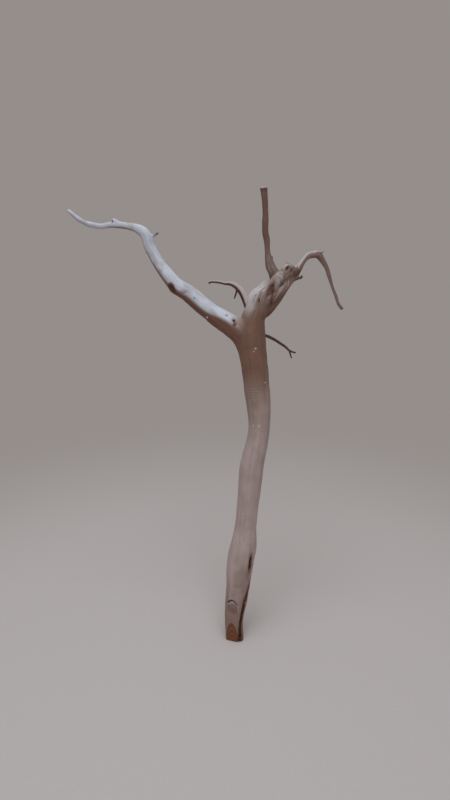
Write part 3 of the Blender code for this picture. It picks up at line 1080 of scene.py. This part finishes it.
@dataclass
class Timber:
    """Trunk, left limb, upright stem, stub and right limb: grown as one skin, then parted."""

    fineness: float = 0.83 * MM
    joint: float = 1.95
    crotch: Place = (0.012, 0.112, 0.403)
    crown: Place = (0.058, 0.130, 0.444)
    spur_tip: Place = (0.0885, 0.150, 0.4400)
    elbow_tip: Place = (-0.0995, 0.170, 0.4965)
    foot_tall: float = 21.5 * MM
    foot_deep: float = 4.6 * MM
    foot_turn: float = -18
    bark_wide: float = 4.6 * MM
    bark_deep: float = 1.2 * MM
    shoulder: Rows = ((0.0185, 0.108, 0.3300, 0.0098), (0.0090, 0.116, 0.3600, 0.0092),
                      (-0.0060, 0.121, 0.3742, 0.0086), (-0.0225, 0.128, 0.3855, 0.0086))
    stub_sheet: Rows = ((0.0560, 0.134, 0.4330, 0.0066), (0.0660, 0.141, 0.4490, 0.0058),
                        (0.0700, 0.143, 0.4530, 0.0050), (0.0765, 0.147, 0.4485, 0.0048))
    sheet_floor: Rows = ((0.0620, 0.138, 0.4385, 0.0055), (0.0725, 0.146, 0.4465, 0.0055),
                         (0.0800, 0.151, 0.4455, 0.0045))
    bark_rows: tuple[tuple[float, float], ...] = ((8, 34), (40, 42), (75, 46), (112, 48),
                                                  (134, 60), (160, 74))
    marks: tuple[Mark, ...] = field(default_factory=lambda: (
        Mark(MarkKind.HOLE, (0.0199, 0.0185, 0.0960), 3.8 * MM, 17 * MM, 5 * MM, 1.0, 0.9, halo=0.5,
             turn=-15),
        Mark(MarkKind.SPOT, (0.0100, 0.006, 0.0830), 15 * MM, 22 * MM, 0, 0.03, 0.24, turn=-10),
        Mark(MarkKind.KNOT, (-0.0815, 0.135, 0.4262), 9 * MM, 13 * MM, 1.4 * MM, 0.10, 0.95, turn=38),
        Mark(MarkKind.HOLE, (-0.0825, 0.135, 0.4262), 2.0 * MM, 8 * MM, 0.6 * MM, 0.6, turn=38),
        Mark(MarkKind.DIMPLE, (-0.066, 0.130, 0.421), 14 * MM, 8 * MM, 1.3 * MM, 0.0, 0.30),
        Mark(MarkKind.SPOT, (-0.053, 0.135, 0.415), 2.4 * MM, 2.0 * MM, 0, 0.7),
        Mark(MarkKind.BUMP, (-0.036, 0.118, 0.391), 3.0 * MM, 2.6 * MM, 0.7 * MM, pale=1.0),
        Mark(MarkKind.SPOT, (-0.010, 0.110, 0.3965), 4.4 * MM, 4.0 * MM, 0, 0.55),
        Mark(MarkKind.HOLE, (-0.001, 0.118, 0.3885), 3.8 * MM, 4.2 * MM, 2.0 * MM, 1.0, 0.4, halo=0.2),
        Mark(MarkKind.SPOT, (-0.001, 0.116, 0.3835), 4.0 * MM, 5.0 * MM, 0, 0.35, 0.8),
        Mark(MarkKind.BUMP, (0.027, 0.100, 0.355), 2.4 * MM, 2.4 * MM, 0.5 * MM, pale=0.9),
        Mark(MarkKind.SPOT, (0.0235, 0.100, 0.352), 1.8 * MM, 1.8 * MM, pale=0.7),
        Mark(MarkKind.BUMP, (0.022, 0.070, 0.262), 2.6 * MM, 2.2 * MM, 0.4 * MM, pale=0.7),
        Mark(MarkKind.BUMP, (0.030, 0.070, 0.2605), 2.4 * MM, 2.8 * MM, 0.4 * MM, pale=0.7),
        Mark(MarkKind.SPOT, (0.042, 0.110, 0.328), 1.8 * MM, 1.8 * MM, 0, 0.8),
        Mark(MarkKind.BUMP, (0.040, 0.100, 0.310), 2.2 * MM, 2.2 * MM, 0.5 * MM, pale=0.8),
        Mark(MarkKind.DIMPLE, (0.046, 0.122, 0.4285), 7.0 * MM, 13 * MM, 0.8 * MM, 0.18, 0.50, turn=-25),
        Mark(MarkKind.SPOT, (0.0475, 0.122, 0.4320), 3.0 * MM, 5 * MM, 0, 0.55, 0.3, turn=-30),
        Mark(MarkKind.KNOT, (0.031, 0.118, 0.413), 3.0 * MM, 8 * MM, 0.5 * MM, 0.25, 0.30, turn=-12),
        Mark(MarkKind.SPOT, (0.0492, 0.140, 0.4664), 2.6 * MM, 3.6 * MM, 0, 0.8, 0.3),
        Mark(MarkKind.DIMPLE, (0.0640, 0.135, 0.4340), 3.0 * MM, 22 * MM, 0.7 * MM, 0.16, 0.3, turn=-38),
        Mark(MarkKind.SPOT, (0.026, 0.120, 0.420), 2.0 * MM, 2.0 * MM, 0, 0.6),
        Mark(MarkKind.SPOT, (0.003, -0.006, 0.079), 9 * MM, 5 * MM, 0, 0.0, 0.22),
        Mark(MarkKind.SPOT, (0.008, -0.006, 0.072), 7 * MM, 4.0 * MM, 0, 0.0, 0.18),
        Mark(MarkKind.SPOT, (-0.0030, -0.006, 0.0430), 6.0 * MM, 6.4 * MM, 0, 0.05, 0.42),
        Mark(MarkKind.SPOT, (-0.1634, 0.1840, 0.5095), 2.4 * MM, 4.0 * MM, 0, 0.9),
        Mark(MarkKind.BUMP, (-0.1170, 0.1650, 0.4700), 2.6 * MM, 3.0 * MM, 0.7 * MM, 0.45),
        Mark(MarkKind.BUMP, (-0.1222, 0.1680, 0.4870), 2.8 * MM, 2.6 * MM, 0.6 * MM, 0.10),
        Mark(MarkKind.DIMPLE, (-0.0980, 0.1550, 0.4450), 5.0 * MM, 14 * MM, 0.5 * MM, 0.06, 0.12, turn=40),
        Mark(MarkKind.DIMPLE, (-0.0620, 0.1400, 0.4280), 7.0 * MM, 10 * MM, 0.5 * MM, 0.08, 0.15, turn=50),
        Mark(MarkKind.DIMPLE, (0.0678, 0.135, 0.4535), 5.6 * MM, 13 * MM, 2.2 * MM, 0.50, 0.35, turn=-35),
        Mark(MarkKind.SPOT, (0.0633, 0.135, 0.4560), 4.4 * MM, 16 * MM, 0, pale=0.65, turn=-35),
        Mark(MarkKind.DIMPLE, (0.0485, 0.130, 0.4152), 3.2 * MM, 26 * MM, 0.9 * MM, 0.32, 0.3, turn=-8),
        Mark(MarkKind.SPOT, (0.0575, 0.130, 0.4219), 3.0 * MM, 26 * MM, 0, pale=0.24, turn=-28),
        Mark(MarkKind.SPOT, (0.0556, 0.130, 0.4327), 6.5 * MM, 18 * MM, 0, pale=0.40, turn=-22),
        Mark(MarkKind.BUMP, (0.005, -0.010, 0.008), 2.2 * MM, 2.6 * MM, 0.3 * MM, pale=0.9),
        Mark(MarkKind.SPOT, (0.047, 0.128, 0.526), 2.2 * MM, 2.6 * MM, 0, 0.6),
    ))

    def front_point(self, height: float, turn: float, sink: float) -> Array:
        """A point on the trunk's skin at a height, turned from the front towards the right."""
        stations = np.linspace(0, TRUNK.last, 800)
        table = TRUNK.stretch(0, TRUNK.last, 800)
        where = float(np.interp(height, table[:, 2], stations))
        row = TRUNK.at(where)
        angle = math.radians(turn)
        return row[:3] + (row[3] - sink) * np.array([math.sin(angle), -math.cos(angle), 0])

    def cut_groove(self, trunk: bpy.types.Object) -> None:
        """Cut the seam that the old bark lies in."""
        rows = np.array([(*self.front_point(TRUNK.rise * height / 1000, turn, self.bark_deep),
                          self.bark_wide / 2 + 0.3 * MM) for height, turn in self.bark_rows])
        rows[0] += (rows[0] - rows[1]) * np.array([0.5, 0.5, 0.5, 0])
        rows[-1, 3] *= 0.4
        carve_out(trunk, lay_rod("groove", rows))

    def web(self, name: str, first: Place, middle: Place, last: Place, widths: Place) -> bpy.types.Object:
        """Lay a rod that fills the wood between two branches.

        Args:
            name: The rod's name.
            first: Its start.
            middle: Where it passes.
            last: Its end.
            widths: Its width at each of them.

        Returns:
            The rod.
        """
        rows = [(*place, width / 2) for place, width in zip((first, middle, last), widths)]
        return lay_rod(name, np.array(rows))

    def lay(self) -> bpy.types.Object:
        """Lay every rod and make one skin of them."""
        trunk = lay_course("trunk_rod", TRUNK)
        self.cut_groove(trunk)
        parts = [
            trunk, lay_course("left_rod", LEFT), lay_course("stem_rod", STEM),
            lay_course("stub_rod", STUB), lay_course("right_rod", RIGHT),
            lay_spur("lost_shoot", LEFT.place(14.0), (-0.0205, 0.005, 0.0085), 8.5 * MM, 4.6 * MM),
            lay_spur("elbow_spur", LEFT.place(12), (0.0152, -0.003, 0.0062), 5.6 * MM, 3.8 * MM),
            lay_spur("stem_bud", STEM.place(8.1), (0.006, -0.0005, 0.0015), 3.4 * MM, 2.2 * MM),
            lay_spur("right_spur", RIGHT.place(6.1), (0.0168, 0.002, 0.0040), 8.0 * MM, 3.4 * MM),
            lay_spur("bark_flake", RIGHT.place(10.4), (0.0110, -0.001, 0.0042), 4.2 * MM, 1.8 * MM),
            lay_rod("shoulder_web", np.array([*self.shoulder, (*LEFT.place(4.6), 10.2 * MM)])),
            lay_rod("sheet_floor", np.array(self.sheet_floor)),
            lay_rod("stub_sheet", np.array([*self.stub_sheet, (*RIGHT.place(7.5), 4.6 * MM)])),
            self.web("crown_web", TRUNK.place(16.6), (0.0555, 0.131, 0.4400), STUB.place(1.6),
                     (16 * MM, 14 * MM, 9 * MM)),
            self.web("limb_web", TRUNK.place(16.0), (0.0560, 0.128, 0.4230), RIGHT.place(6.6),
                     (15 * MM, 13 * MM, 10 * MM)),
        ]
        return one_skin("tree_skin", parts, self.fineness)

    def part_line(self, skin: bpy.types.Object) -> tuple[Array, Array]:
        """Cut the left limb's joint line into the skin.

        Args:
            skin: The skin of all the rods.

        Returns:
            A point and the outward heading of the joint.
        """
        middle = LEFT.at(self.joint)[:3]
        heading = LEFT.at(self.joint + 0.02)[:3] - LEFT.at(self.joint - 0.02)[:3]
        heading = heading / np.linalg.norm(heading)
        shape = bmesh.new()
        shape.from_mesh(skin.data)
        near = [face for face in shape.faces
                if (face.calc_center_median() - Vector(middle)).length < 0.021]
        geometry = near + list({edge for face in near for edge in face.edges}) + list(
            {vertex for face in near for vertex in face.verts})
        bmesh.ops.bisect_plane(shape, geom=geometry, plane_co=middle, plane_no=heading, dist=1e-6)
        shape.to_mesh(skin.data)
        shape.free()
        return middle, heading

    def carve(self, skin: bpy.types.Object) -> Array:
        """Shape the skin and lay its colours.

        Args:
            skin: The skin of all the rods.

        Returns:
            The branch number of each point.
        """
        middle, heading = self.part_line(skin)
        carving = Carving(skin, [Spine(course) for course in (TRUNK, LEFT, STEM, STUB, RIGHT)])
        labels = carving.owner.copy()
        inner = ((labels == Part.LEFT.value)
                 & ((carving.places - middle) @ heading < -1e-7))
        labels[inner] = Part.TRUNK.value
        fork = np.linalg.norm(carving.places - np.array(TRUNK.place(13.9)), axis=1)
        crown = np.linalg.norm(carving.places - np.array(TRUNK.place(17.5)), axis=1)
        near_fork = hill(fork, 0.036)
        near_crown = hill(crown, 0.030)
        carving.relax(5)
        carving.fill_creases(150, near_fork)
        carving.fill_creases(24, near_crown)
        roughen(carving, 0.50 * MM, 0.10 * MM, 0.05 * MM, 11)
        carving.push(0.16 * MM * (carving.owner == Part.LEFT.value) * carving.mottled(150, 95, 2))
        self.flow_crown(carving)
        self.lay_colours(carving)
        self.carve_trunk(carving)
        self.fold_ledge(carving)
        carving.cut_marks(self.marks)
        self.cut_foot(carving)
        self.finish_ends(carving)
        self.paint_shade_in_hollows(carving)
        carving.write()
        return labels

    def flow_crown(self, carving: Carving) -> None:
        """Run long ridges and channels up the crown and along the right limb."""
        crown = hill(np.linalg.norm(carving.places - np.array(TRUNK.place(17.6)), axis=1), 0.034)
        right = (carving.owner == Part.RIGHT.value) * 0.8
        strands = carving.grainy(330, 22, 57, 2)
        carving.push(0.75 * MM * np.maximum(crown, right) * (1 - 2 * np.abs(strands)) * 0.8)

    def lay_colours(self, carving: Carving) -> None:
        """Lighten the wood that faces up, partly as bleaching and partly as painted light from above,
        paint shade on undersides, and leave the fork warm and brown.
        """
        sideways, _, height = carving.places.T
        normals = carving.normals
        fog = carving.mottled(30, 5, 2)
        foggy = height + 0.010 * fog
        carving.stain_with("warm", np.maximum(ease(0.235, 0.345, foggy),
                                              0.85 * ease(0.100, 0.004, foggy)))
        tilt = normals[:, 2] + 0.10 * carving.grainy(200, 30, 31, 2)
        leftward = tilt - 0.8 * normals[:, 0]
        left = np.maximum(ease(1.60, 1.05, carving.shares[Part.LEFT.value]),
                          ease(-0.030, -0.045, sideways))
        left *= ease(0.016, -0.012, sideways - 0.45 * (height - 0.385))
        # The limb's upper side is lighter partly as sun-bleached wood and partly as painted light from
        # above.
        bleached_and_lit_side = carving.sides[Part.LEFT.value] + 0.10 * fog - np.clip(6.5 * sideways - 0.06, -0.9, 0)
        patches = 1 - 0.26 * ease(0.15, 0.95, carving.grainy(150, 60, 93, 3))
        carving.stain_with("bleach_and_top_light", left * patches * ease(-0.24, 0.20, bleached_and_lit_side))
        # Rust brown on the limb's underside near the trunk: partly its own colour, partly painted shade.
        carving.stain_with("stain", 0.42 * ease(0.05, -0.45, bleached_and_lit_side)
                           * ease(1.5, 1.1, carving.shares[Part.LEFT.value])
                           * ease(0.004, -0.014, sideways) * ease(-0.090, -0.060, sideways))
        head = ease(0.390, 0.416, height) * ease(0.050, 0.032, sideways)
        trunk = carving.owner == Part.TRUNK.value
        # Paler on the head's faces turned up and to the left: partly bleached wood, partly painted light.
        carving.stain_with("bleach_and_top_light", 0.92 * head * trunk * ease(0.30, 0.95, leftward + 0.1 * fog))
        carving.stain_with("bleach_and_top_light", 0.22 * head * trunk)
        # Painted highlight on the lit ridge of the crotch.
        crotch = carving.around(self.crotch, 10 * MM)
        carving.stain_with("pale", 0.20 * crotch)
        crown = carving.around(self.crown, 18 * MM)
        carving.stain_with("bleach_and_top_light", 0.16 * crown)
        right = carving.owner == Part.RIGHT.value
        # Painted highlight along the right limb's top edge, where it faces up and to the left.
        carving.stain_with("bleach_and_top_light", right * 0.80 * ease(0.30, 0.90, leftward)
                           * ease(0.165, 0.120, sideways))
        carving.stain_with("bleach_and_top_light", right * 0.15 * ease(0.080, 0.098, sideways))
        # Painted shade on the right limb's underside.
        carving.stain_with("dark", right * 0.34 * ease(-0.25, -0.80, tilt))
        carving.stain_with("stain", right * 0.30 * ease(0.108, 0.135, sideways)
                           * ease(-0.4, 0.5, normals[:, 0]))
        spur = carving.around(self.spur_tip, 8 * MM)
        carving.stain_with("dark", right * 0.80 * spur)
        carving.stain_with("dark", 0.08 * trunk * hill(height - 0.230, 0.040))
        stem = carving.owner == Part.STEM.value
        carving.stain_with("bleach_and_top_light", stem * 0.06)
        # Painted shade on the stem's left-facing side.
        carving.stain_with("dark", stem * 0.22 * ease(0.45, 0.95, -normals[:, 0]))
        stub = carving.owner == Part.STUB.value
        # Paler on the stub's left-facing wall: partly bleached wood, partly painted light.
        carving.stain_with("bleach_and_top_light", stub * 0.70 * ease(0.25, 0.9, -normals[:, 0]))
        elbow = carving.around(self.elbow_tip, 7.5 * MM)
        carving.stain_with("dark", 0.90 * elbow * ease(1.0, 1.4, carving.shares[Part.LEFT.value]))

    def carve_trunk(self, carving: Carving) -> None:
        """Cut the long flute up the trunk's right and the faint rings below the shoulder."""
        sideways, _, height = carving.places.T
        side, upward, _ = carving.straight.T
        around = np.arctan2(side, -upward)
        trunk = carving.owner == Part.TRUNK.value
        wander = 0.06 * carving.mottled(25, 83)
        flute = trunk * ease(0.140, 0.165, height) * ease(0.292, 0.262, height)
        away = around - 0.86 - wander
        carving.push(-0.55 * MM * flute * hill(away, 0.15))
        # Painted shade along the flute's bottom and a painted highlight on one of its edges.
        carving.stain_with("dark", 0.30 * flute * hill(away - 0.05, 0.035))
        carving.stain_with("pale", 0.22 * flute * hill(away + 0.16, 0.07))
        ring = trunk * hill(height - 0.3035, 0.008) * hill(sideways - 0.026, 0.006)
        waves = np.sin(height / (0.50 * MM) + 2.0 * carving.mottled(90, 89))
        carving.push(0.14 * MM * ring * waves)
        # Painted shade in the rings' troughs and painted highlights on their crests.
        carving.stain_with("dark", 0.20 * ring * ease(0.2, 0.9, -waves))
        carving.stain_with("pale", 0.10 * ring * ease(0.2, 0.9, waves))

    def fold_ledge(self, carving: Carving) -> None:
        """Sink the healed patch under its arched lip, low on the left of the front."""
        sideways, _, height = carving.places.T
        front = ease(0.1, 0.6, -carving.normals[:, 1])
        arch = 0.0535 - 0.0045 * ((sideways + 0.0033) / 0.0057) ** 2
        inside = ease(0.0068, 0.0050, np.abs(sideways + 0.0033)) * front
        below = arch - height
        step = ease(-0.0004, 0.0008, below) * ease(0.022, 0.006, below)
        carving.push(inside * (0.7 * MM * hill(below + 0.0014, 0.0014) - 1.1 * MM * step))
        # Painted shadow under the overhanging lip, and a painted highlight on the lip of the step below.
        carving.stain_with("dark", 0.85 * inside * hill(below - 0.0003, 0.0009))
        carving.stain_with("pale", 0.55 * inside * hill(below - 0.0028, 0.0010))
        carving.stain_with("stain", 0.35 * inside * ease(0.003, 0.006, below)
                           * ease(0.016, 0.009, below))

    def cut_foot(self, carving: Carving) -> None:
        """Darken the foot's rim, and the wood along the bark seam."""
        height = carving.places[:, 2]
        carving.stain_with("stain", 0.5 * ease(0.012, 0.0, height))
        seam = np.array([self.front_point(TRUNK.rise * row / 1000, turn, 0.0)
                         for row, turn in self.bark_rows])
        gap = np.full(carving.count, np.inf)
        for first, second in zip(seam[:-1], seam[1:]):
            for share in np.linspace(0, 1, 12):
                place = first + (second - first) * share
                gap = np.minimum(gap, np.linalg.norm(carving.places - place, axis=1))
        near = hill(gap - 1.8 * MM, 1.9 * MM + 2.2 * MM * ease(0.036, 0.052, height))
        carving.stain_with("stain", 0.80 * near * ease(-0.3, 0.5, carving.mottled(130, 91, 2) + 0.5))

    def finish_ends(self, carving: Carving) -> None:
        """Leave the stem's top as a pale saw cut with a dark band under it."""
        owner = carving.owner
        places, normals = carving.places, carving.normals
        top = STEM.place(STEM.last)[2]
        stem = owner == Part.STEM.value
        carving.stain_with("pale", stem * 0.8 * ease(0.5, 0.8, normals[:, 2])
                           * ease(top - 0.003, top - 0.001, places[:, 2]))
        carving.stain_with("dark", stem * 0.35 * hill(places[:, 2] - (top - 0.0035), 0.0018))

    def paint_shade_in_hollows(self, carving: Carving) -> None:
        """Paint shade into the creases, browner and then near-black, and lighten the ridges of the upper
        crown.
        """
        depth = carving.hollowness(14) / MM
        # Painted shade in creases: browner in shallow ones, near-black in deeper ones.
        carving.stain_with("warm", 0.8 * ease(0.03, 0.20, depth))
        crown = carving.around(self.crown, 26 * MM)
        carving.stain_with("dark", (0.55 + 0.25 * crown) * ease(0.12, 0.50, depth))
        upper = ease(0.38, 0.40, carving.places[:, 2])
        carving.stain_with("bleach_and_top_light", 0.48 * crown * upper * ease(-0.05, -0.24, depth))

    def chamfer(self, timber: bpy.types.Object) -> None:
        """Saw the front left of the foot off along its slant."""
        turn = math.radians(self.foot_turn)
        outward = Vector((math.sin(turn), -math.cos(turn), 0))
        top = Vector(self.front_point(self.foot_tall, self.foot_turn, 0))
        low = Vector(self.front_point(0, self.foot_turn, self.foot_deep))
        along = (top - low).normalized()
        normal = (outward - along * outward.dot(along)).normalized()
        saw(timber, tuple(low), tuple(normal))
        mesh = timber.data
        places = np.empty(len(mesh.vertices) * 3)
        mesh.vertices.foreach_get("co", places)
        places = places.reshape(-1, 3)
        sawn = np.abs((places - np.array(low)) @ np.array(normal)) < 0.02 * MM
        sawn |= np.abs(places[:, 2]) < 0.02 * MM
        for name, value in (("sawn", 1.0), ("pale", 0.0), ("dark", 0.06), ("stain", 0.12)):
            layer = mesh.attributes[name].data
            mask = np.empty(len(places))
            layer.foreach_get("value", mask)
            layer.foreach_set("value", np.where(sawn, value, mask))

    def build(self, finishes: dict[str, bpy.types.Material]) -> None:
        """Make the skin, part it and set every piece on the frame.

        Args:
            finishes: The material of each slot.
        """
        skin = self.lay()
        parting = Parting(skin, self.carve(skin))
        for part, facts in PIECES.items():
            piece = parting.take(part)
            if part is Part.TRUNK:
                saw(piece, (0, 0, 0), (0, 0, -1))
                self.chamfer(piece)
            smooth_shading(piece)
            settle_on_frame(piece, finishes[facts.slot], facts.node)
        bpy.data.objects.remove(skin, do_unlink=True)


@dataclass
class Twig:
    """A thin twig that is laid, carved and dressed by itself."""

    name: str
    node: str
    course: Course
    fineness: float
    spur: tuple[float, Place, float, float]
    lumps: float
    ridges: float
    bleach_and_top_light: tuple[float, float]
    bleach_and_light_share: float
    relax_rounds: int
    seed: int
    painted_root_shade: float = 0.0
    slot: str = "twig_wood"

    def build(self, wood: bpy.types.Material) -> None:
        """Make the twig and set it on the frame."""
        where, offset, root, tip = self.spur
        parts = [lay_course(self.name + "_rod", self.course),
                 lay_spur(self.name + "_spur", self.course.place(where), offset, root, tip)]
        piece = one_skin(self.name, parts, self.fineness)
        carving = Carving(piece, [Spine(self.course)])
        carving.relax(self.relax_rounds)
        roughen(carving, self.lumps, self.ridges, 0.04 * MM, self.seed)
        carving.stain_with("warm", np.full(carving.count, 0.9))
        bleach_and_light_from_above(carving, *self.bleach_and_top_light, self.seed + 7)
        carving.masks["bleach_and_top_light"] *= self.bleach_and_light_share
        depth = carving.hollowness(8) / MM
        # Painted shade in the twig's creases.
        carving.stain_with("dark", 0.6 * ease(0.04, 0.25, depth))
        along = carving.straight[:, 2]
        # Painted shade where the twig's root runs in behind the crotch, and on its down- and left-facing
        # side near the root.
        shaded_side = ease(0.35, -0.15, carving.normals[:, 2] + 0.5 * carving.normals[:, 0])
        root = self.painted_root_shade * np.maximum(ease(0.030, 0.018, along), ease(0.062, 0.036, along) * shaded_side)
        carving.masks["bleach_and_top_light"] *= 1 - root
        carving.stain_with("dark", 0.55 * root)
        carving.write()
        smooth_shading(piece)
        settle_on_frame(piece, wood, self.node)


def thin_twigs() -> list[Twig]:
    """List the two thin twigs with their sizes."""
    return [
        Twig("curled_twig_wood", "curled_twig", CURL, 0.30 * MM,
             (4.8, (-0.0045, 0.005, -0.016), 2.6 * MM, 1.6 * MM), 0.30 * MM, 0.16 * MM,
             (0.00, 0.50), 0.95, 3, 41, 1.0),
        Twig("drooping_twig_wood", "drooping_twig", DROOP, 0.24 * MM,
             (7, (0.004, 0.006, -0.012), 3.0 * MM, 1.8 * MM), 0.22 * MM, 0.10 * MM,
             (0.6, 1.1), 0.3, 2, 47),
    ]


class BarkSeam:
    """The strip of old bark in its seam at the foot."""

    def __init__(self, nodes: dict[str, bpy.types.Object]) -> None:
        """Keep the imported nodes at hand."""
        self.nodes = nodes

    def build(self, bark: bpy.types.Material) -> None:
        """Copy the strip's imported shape, flake it and set it on the frame."""
        pick(self.nodes["bark_strip"])
        bpy.ops.object.duplicate()
        strip = bpy.context.object
        strip.name = strip.data.name = "bark_seam"
        strip.parent = None
        bpy.ops.object.mode_set(mode="EDIT")
        bpy.ops.mesh.select_all(action="SELECT")
        bpy.ops.mesh.remove_doubles(threshold=1e-6)
        bpy.ops.object.mode_set(mode="OBJECT")
        apply_modifier(strip, "REMESH", mode="VOXEL", voxel_size=0.28 * MM)
        carving = Carving(strip, [Spine(TRUNK)])
        carving.relax(2)
        flakes = carving.mottled(420, 61, 3)
        carving.push(0.22 * MM * flakes - 0.25 * MM * ease(0.1, 0.5, carving.mottled(230, 67, 2)))
        carving.stain_with("dark", 0.7 * ease(0.1, 0.7, -flakes)
                           + 0.45 * ease(0.048, 0.040, carving.places[:, 2]))
        carving.write()
        smooth_shading(strip, 35)
        settle_on_frame(strip, bark, "bark_strip")


class Joinery:
    """The hidden dowels and the brad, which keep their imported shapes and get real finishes."""

    def __init__(self, nodes: dict[str, bpy.types.Object]) -> None:
        """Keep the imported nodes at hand."""
        self.nodes = nodes

    def build(self) -> None:
        """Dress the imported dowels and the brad."""
        courses = {"left_limb_dowel": (LEFT, 1.95), "upright_stem_dowel": (STEM, 1.4),
                   "right_limb_dowel": (RIGHT, 1.5)}
        for node, (course, where) in courses.items():
            heading = course.at(where + 0.02)[:3] - course.at(where - 0.02)[:3]
            finish = TurnedDowel(node + "_beech", tuple(heading))
            self.dress(node, finish.make())
        self.dress("left_limb_brad", DullSteel().make())

    def dress(self, node: str, material: bpy.types.Material) -> None:
        """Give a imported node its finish."""
        item = self.nodes[node]
        for slot in item.material_slots:
            slot.material = material
        log.info("%s dressed", node)


# ---------------------------------------------------------------- the stage
@dataclass(frozen=True)
class Studio:
    """Pale floor, soft light from above and the camera."""

    lens: float = 25.65
    sensor: float = 36.0
    eye: Place = EYE
    pitch: float = 73.3
    floor_half: float = 0.9
    floor_colour: Colour = (0.72, 0.695, 0.680)
    sky: Colour = (0.300, 0.272, 0.262)

    def set_floor(self) -> None:
        """Lay a pale floor that fades out towards its rim."""
        deselect_all()
        bpy.ops.mesh.primitive_circle_add(vertices=96, radius=self.floor_half, fill_type="NGON",
                                          location=(0, 0, -0.0002))
        floor = bpy.context.object
        floor.name = floor.data.name = "studio_floor"
        settle_place(floor)
        n = Nodes("pale_floor")
        length = n.tree.nodes.new("ShaderNodeVectorMath")
        length.operation = "LENGTH"
        n.feed(length.inputs[0], n.place)
        fade = n.step(length.outputs["Value"], self.floor_half * 0.35, self.floor_half * 0.98)
        grain = n.noise(n.place, 260, 3.0)
        n.feed(n.shader.inputs["Base Color"],
               n.mix(n.step(grain, 0.2, 0.8), tuple(0.97 * part for part in self.floor_colour),
                     self.floor_colour))
        n.shader.inputs["Roughness"].default_value = 0.85
        n.feed(n.shader.inputs["Alpha"], n.sum("SUBTRACT", 1.0, fade))
        floor.data.materials.append(n.material)

    def set_light(self) -> None:
        """Hang one wide soft light overhead, under an even sky."""
        deselect_all()
        bpy.ops.object.light_add(type="AREA", location=(-0.1, -0.25, 1.55), rotation=(0.12, 0, 0))
        key = bpy.context.object
        key.name = key.data.name = "overhead_softbox"
        key.data.size = 1.1
        key.data.energy = 9.0
        key.data.color = (0.90, 0.95, 1.0)
        world = bpy.data.worlds.new("studio_air")
        bpy.context.scene.world = world
        world.use_nodes = True
        air = world.node_tree.nodes["Background"]
        air.inputs["Color"].default_value = (*self.sky, 1)
        air.inputs["Strength"].default_value = 1.0

    def set_camera(self) -> None:
        """Stand the camera where the tree is seen from."""
        bpy.ops.object.camera_add(location=self.eye, rotation=(math.radians(self.pitch), 0, 0))
        camera = bpy.context.object
        camera.name = "studio_camera"
        camera.data.sensor_width = self.sensor
        camera.data.lens = self.lens
        camera.data.clip_start = 0.01
        bpy.context.scene.camera = camera
        bpy.context.scene.view_settings.view_transform = "Standard"


def main() -> None:
    """Build the tree over its frame."""
    logging.basicConfig(level=logging.INFO, format="%(name)s: %(message)s")
    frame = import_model()
    wood = DriftWood("bare_driftwood").make()
    # The limb's bluish white is partly the colour of the light on its top: painted light.
    limb_wood = DriftWood("bleached_driftwood", white=(0.685, 0.725, 0.815), streak=0.05).make()
    twig_wood = DriftWood("dark_twig_wood", grey=(0.20, 0.11, 0.08), brown=(0.135, 0.062, 0.043),
                          white=(0.60, 0.53, 0.51)).make()
    Timber().build({"bare_wood": wood, "bleached_wood": limb_wood})
    for twig in thin_twigs():
        twig.build(twig_wood)
    BarkSeam(frame["nodes"]).build(OldBark().make())
    Joinery(frame["nodes"]).build()
    studio = Studio()
    studio.set_floor()
    studio.set_light()
    studio.set_camera()


if __name__ == "__main__":
    main()
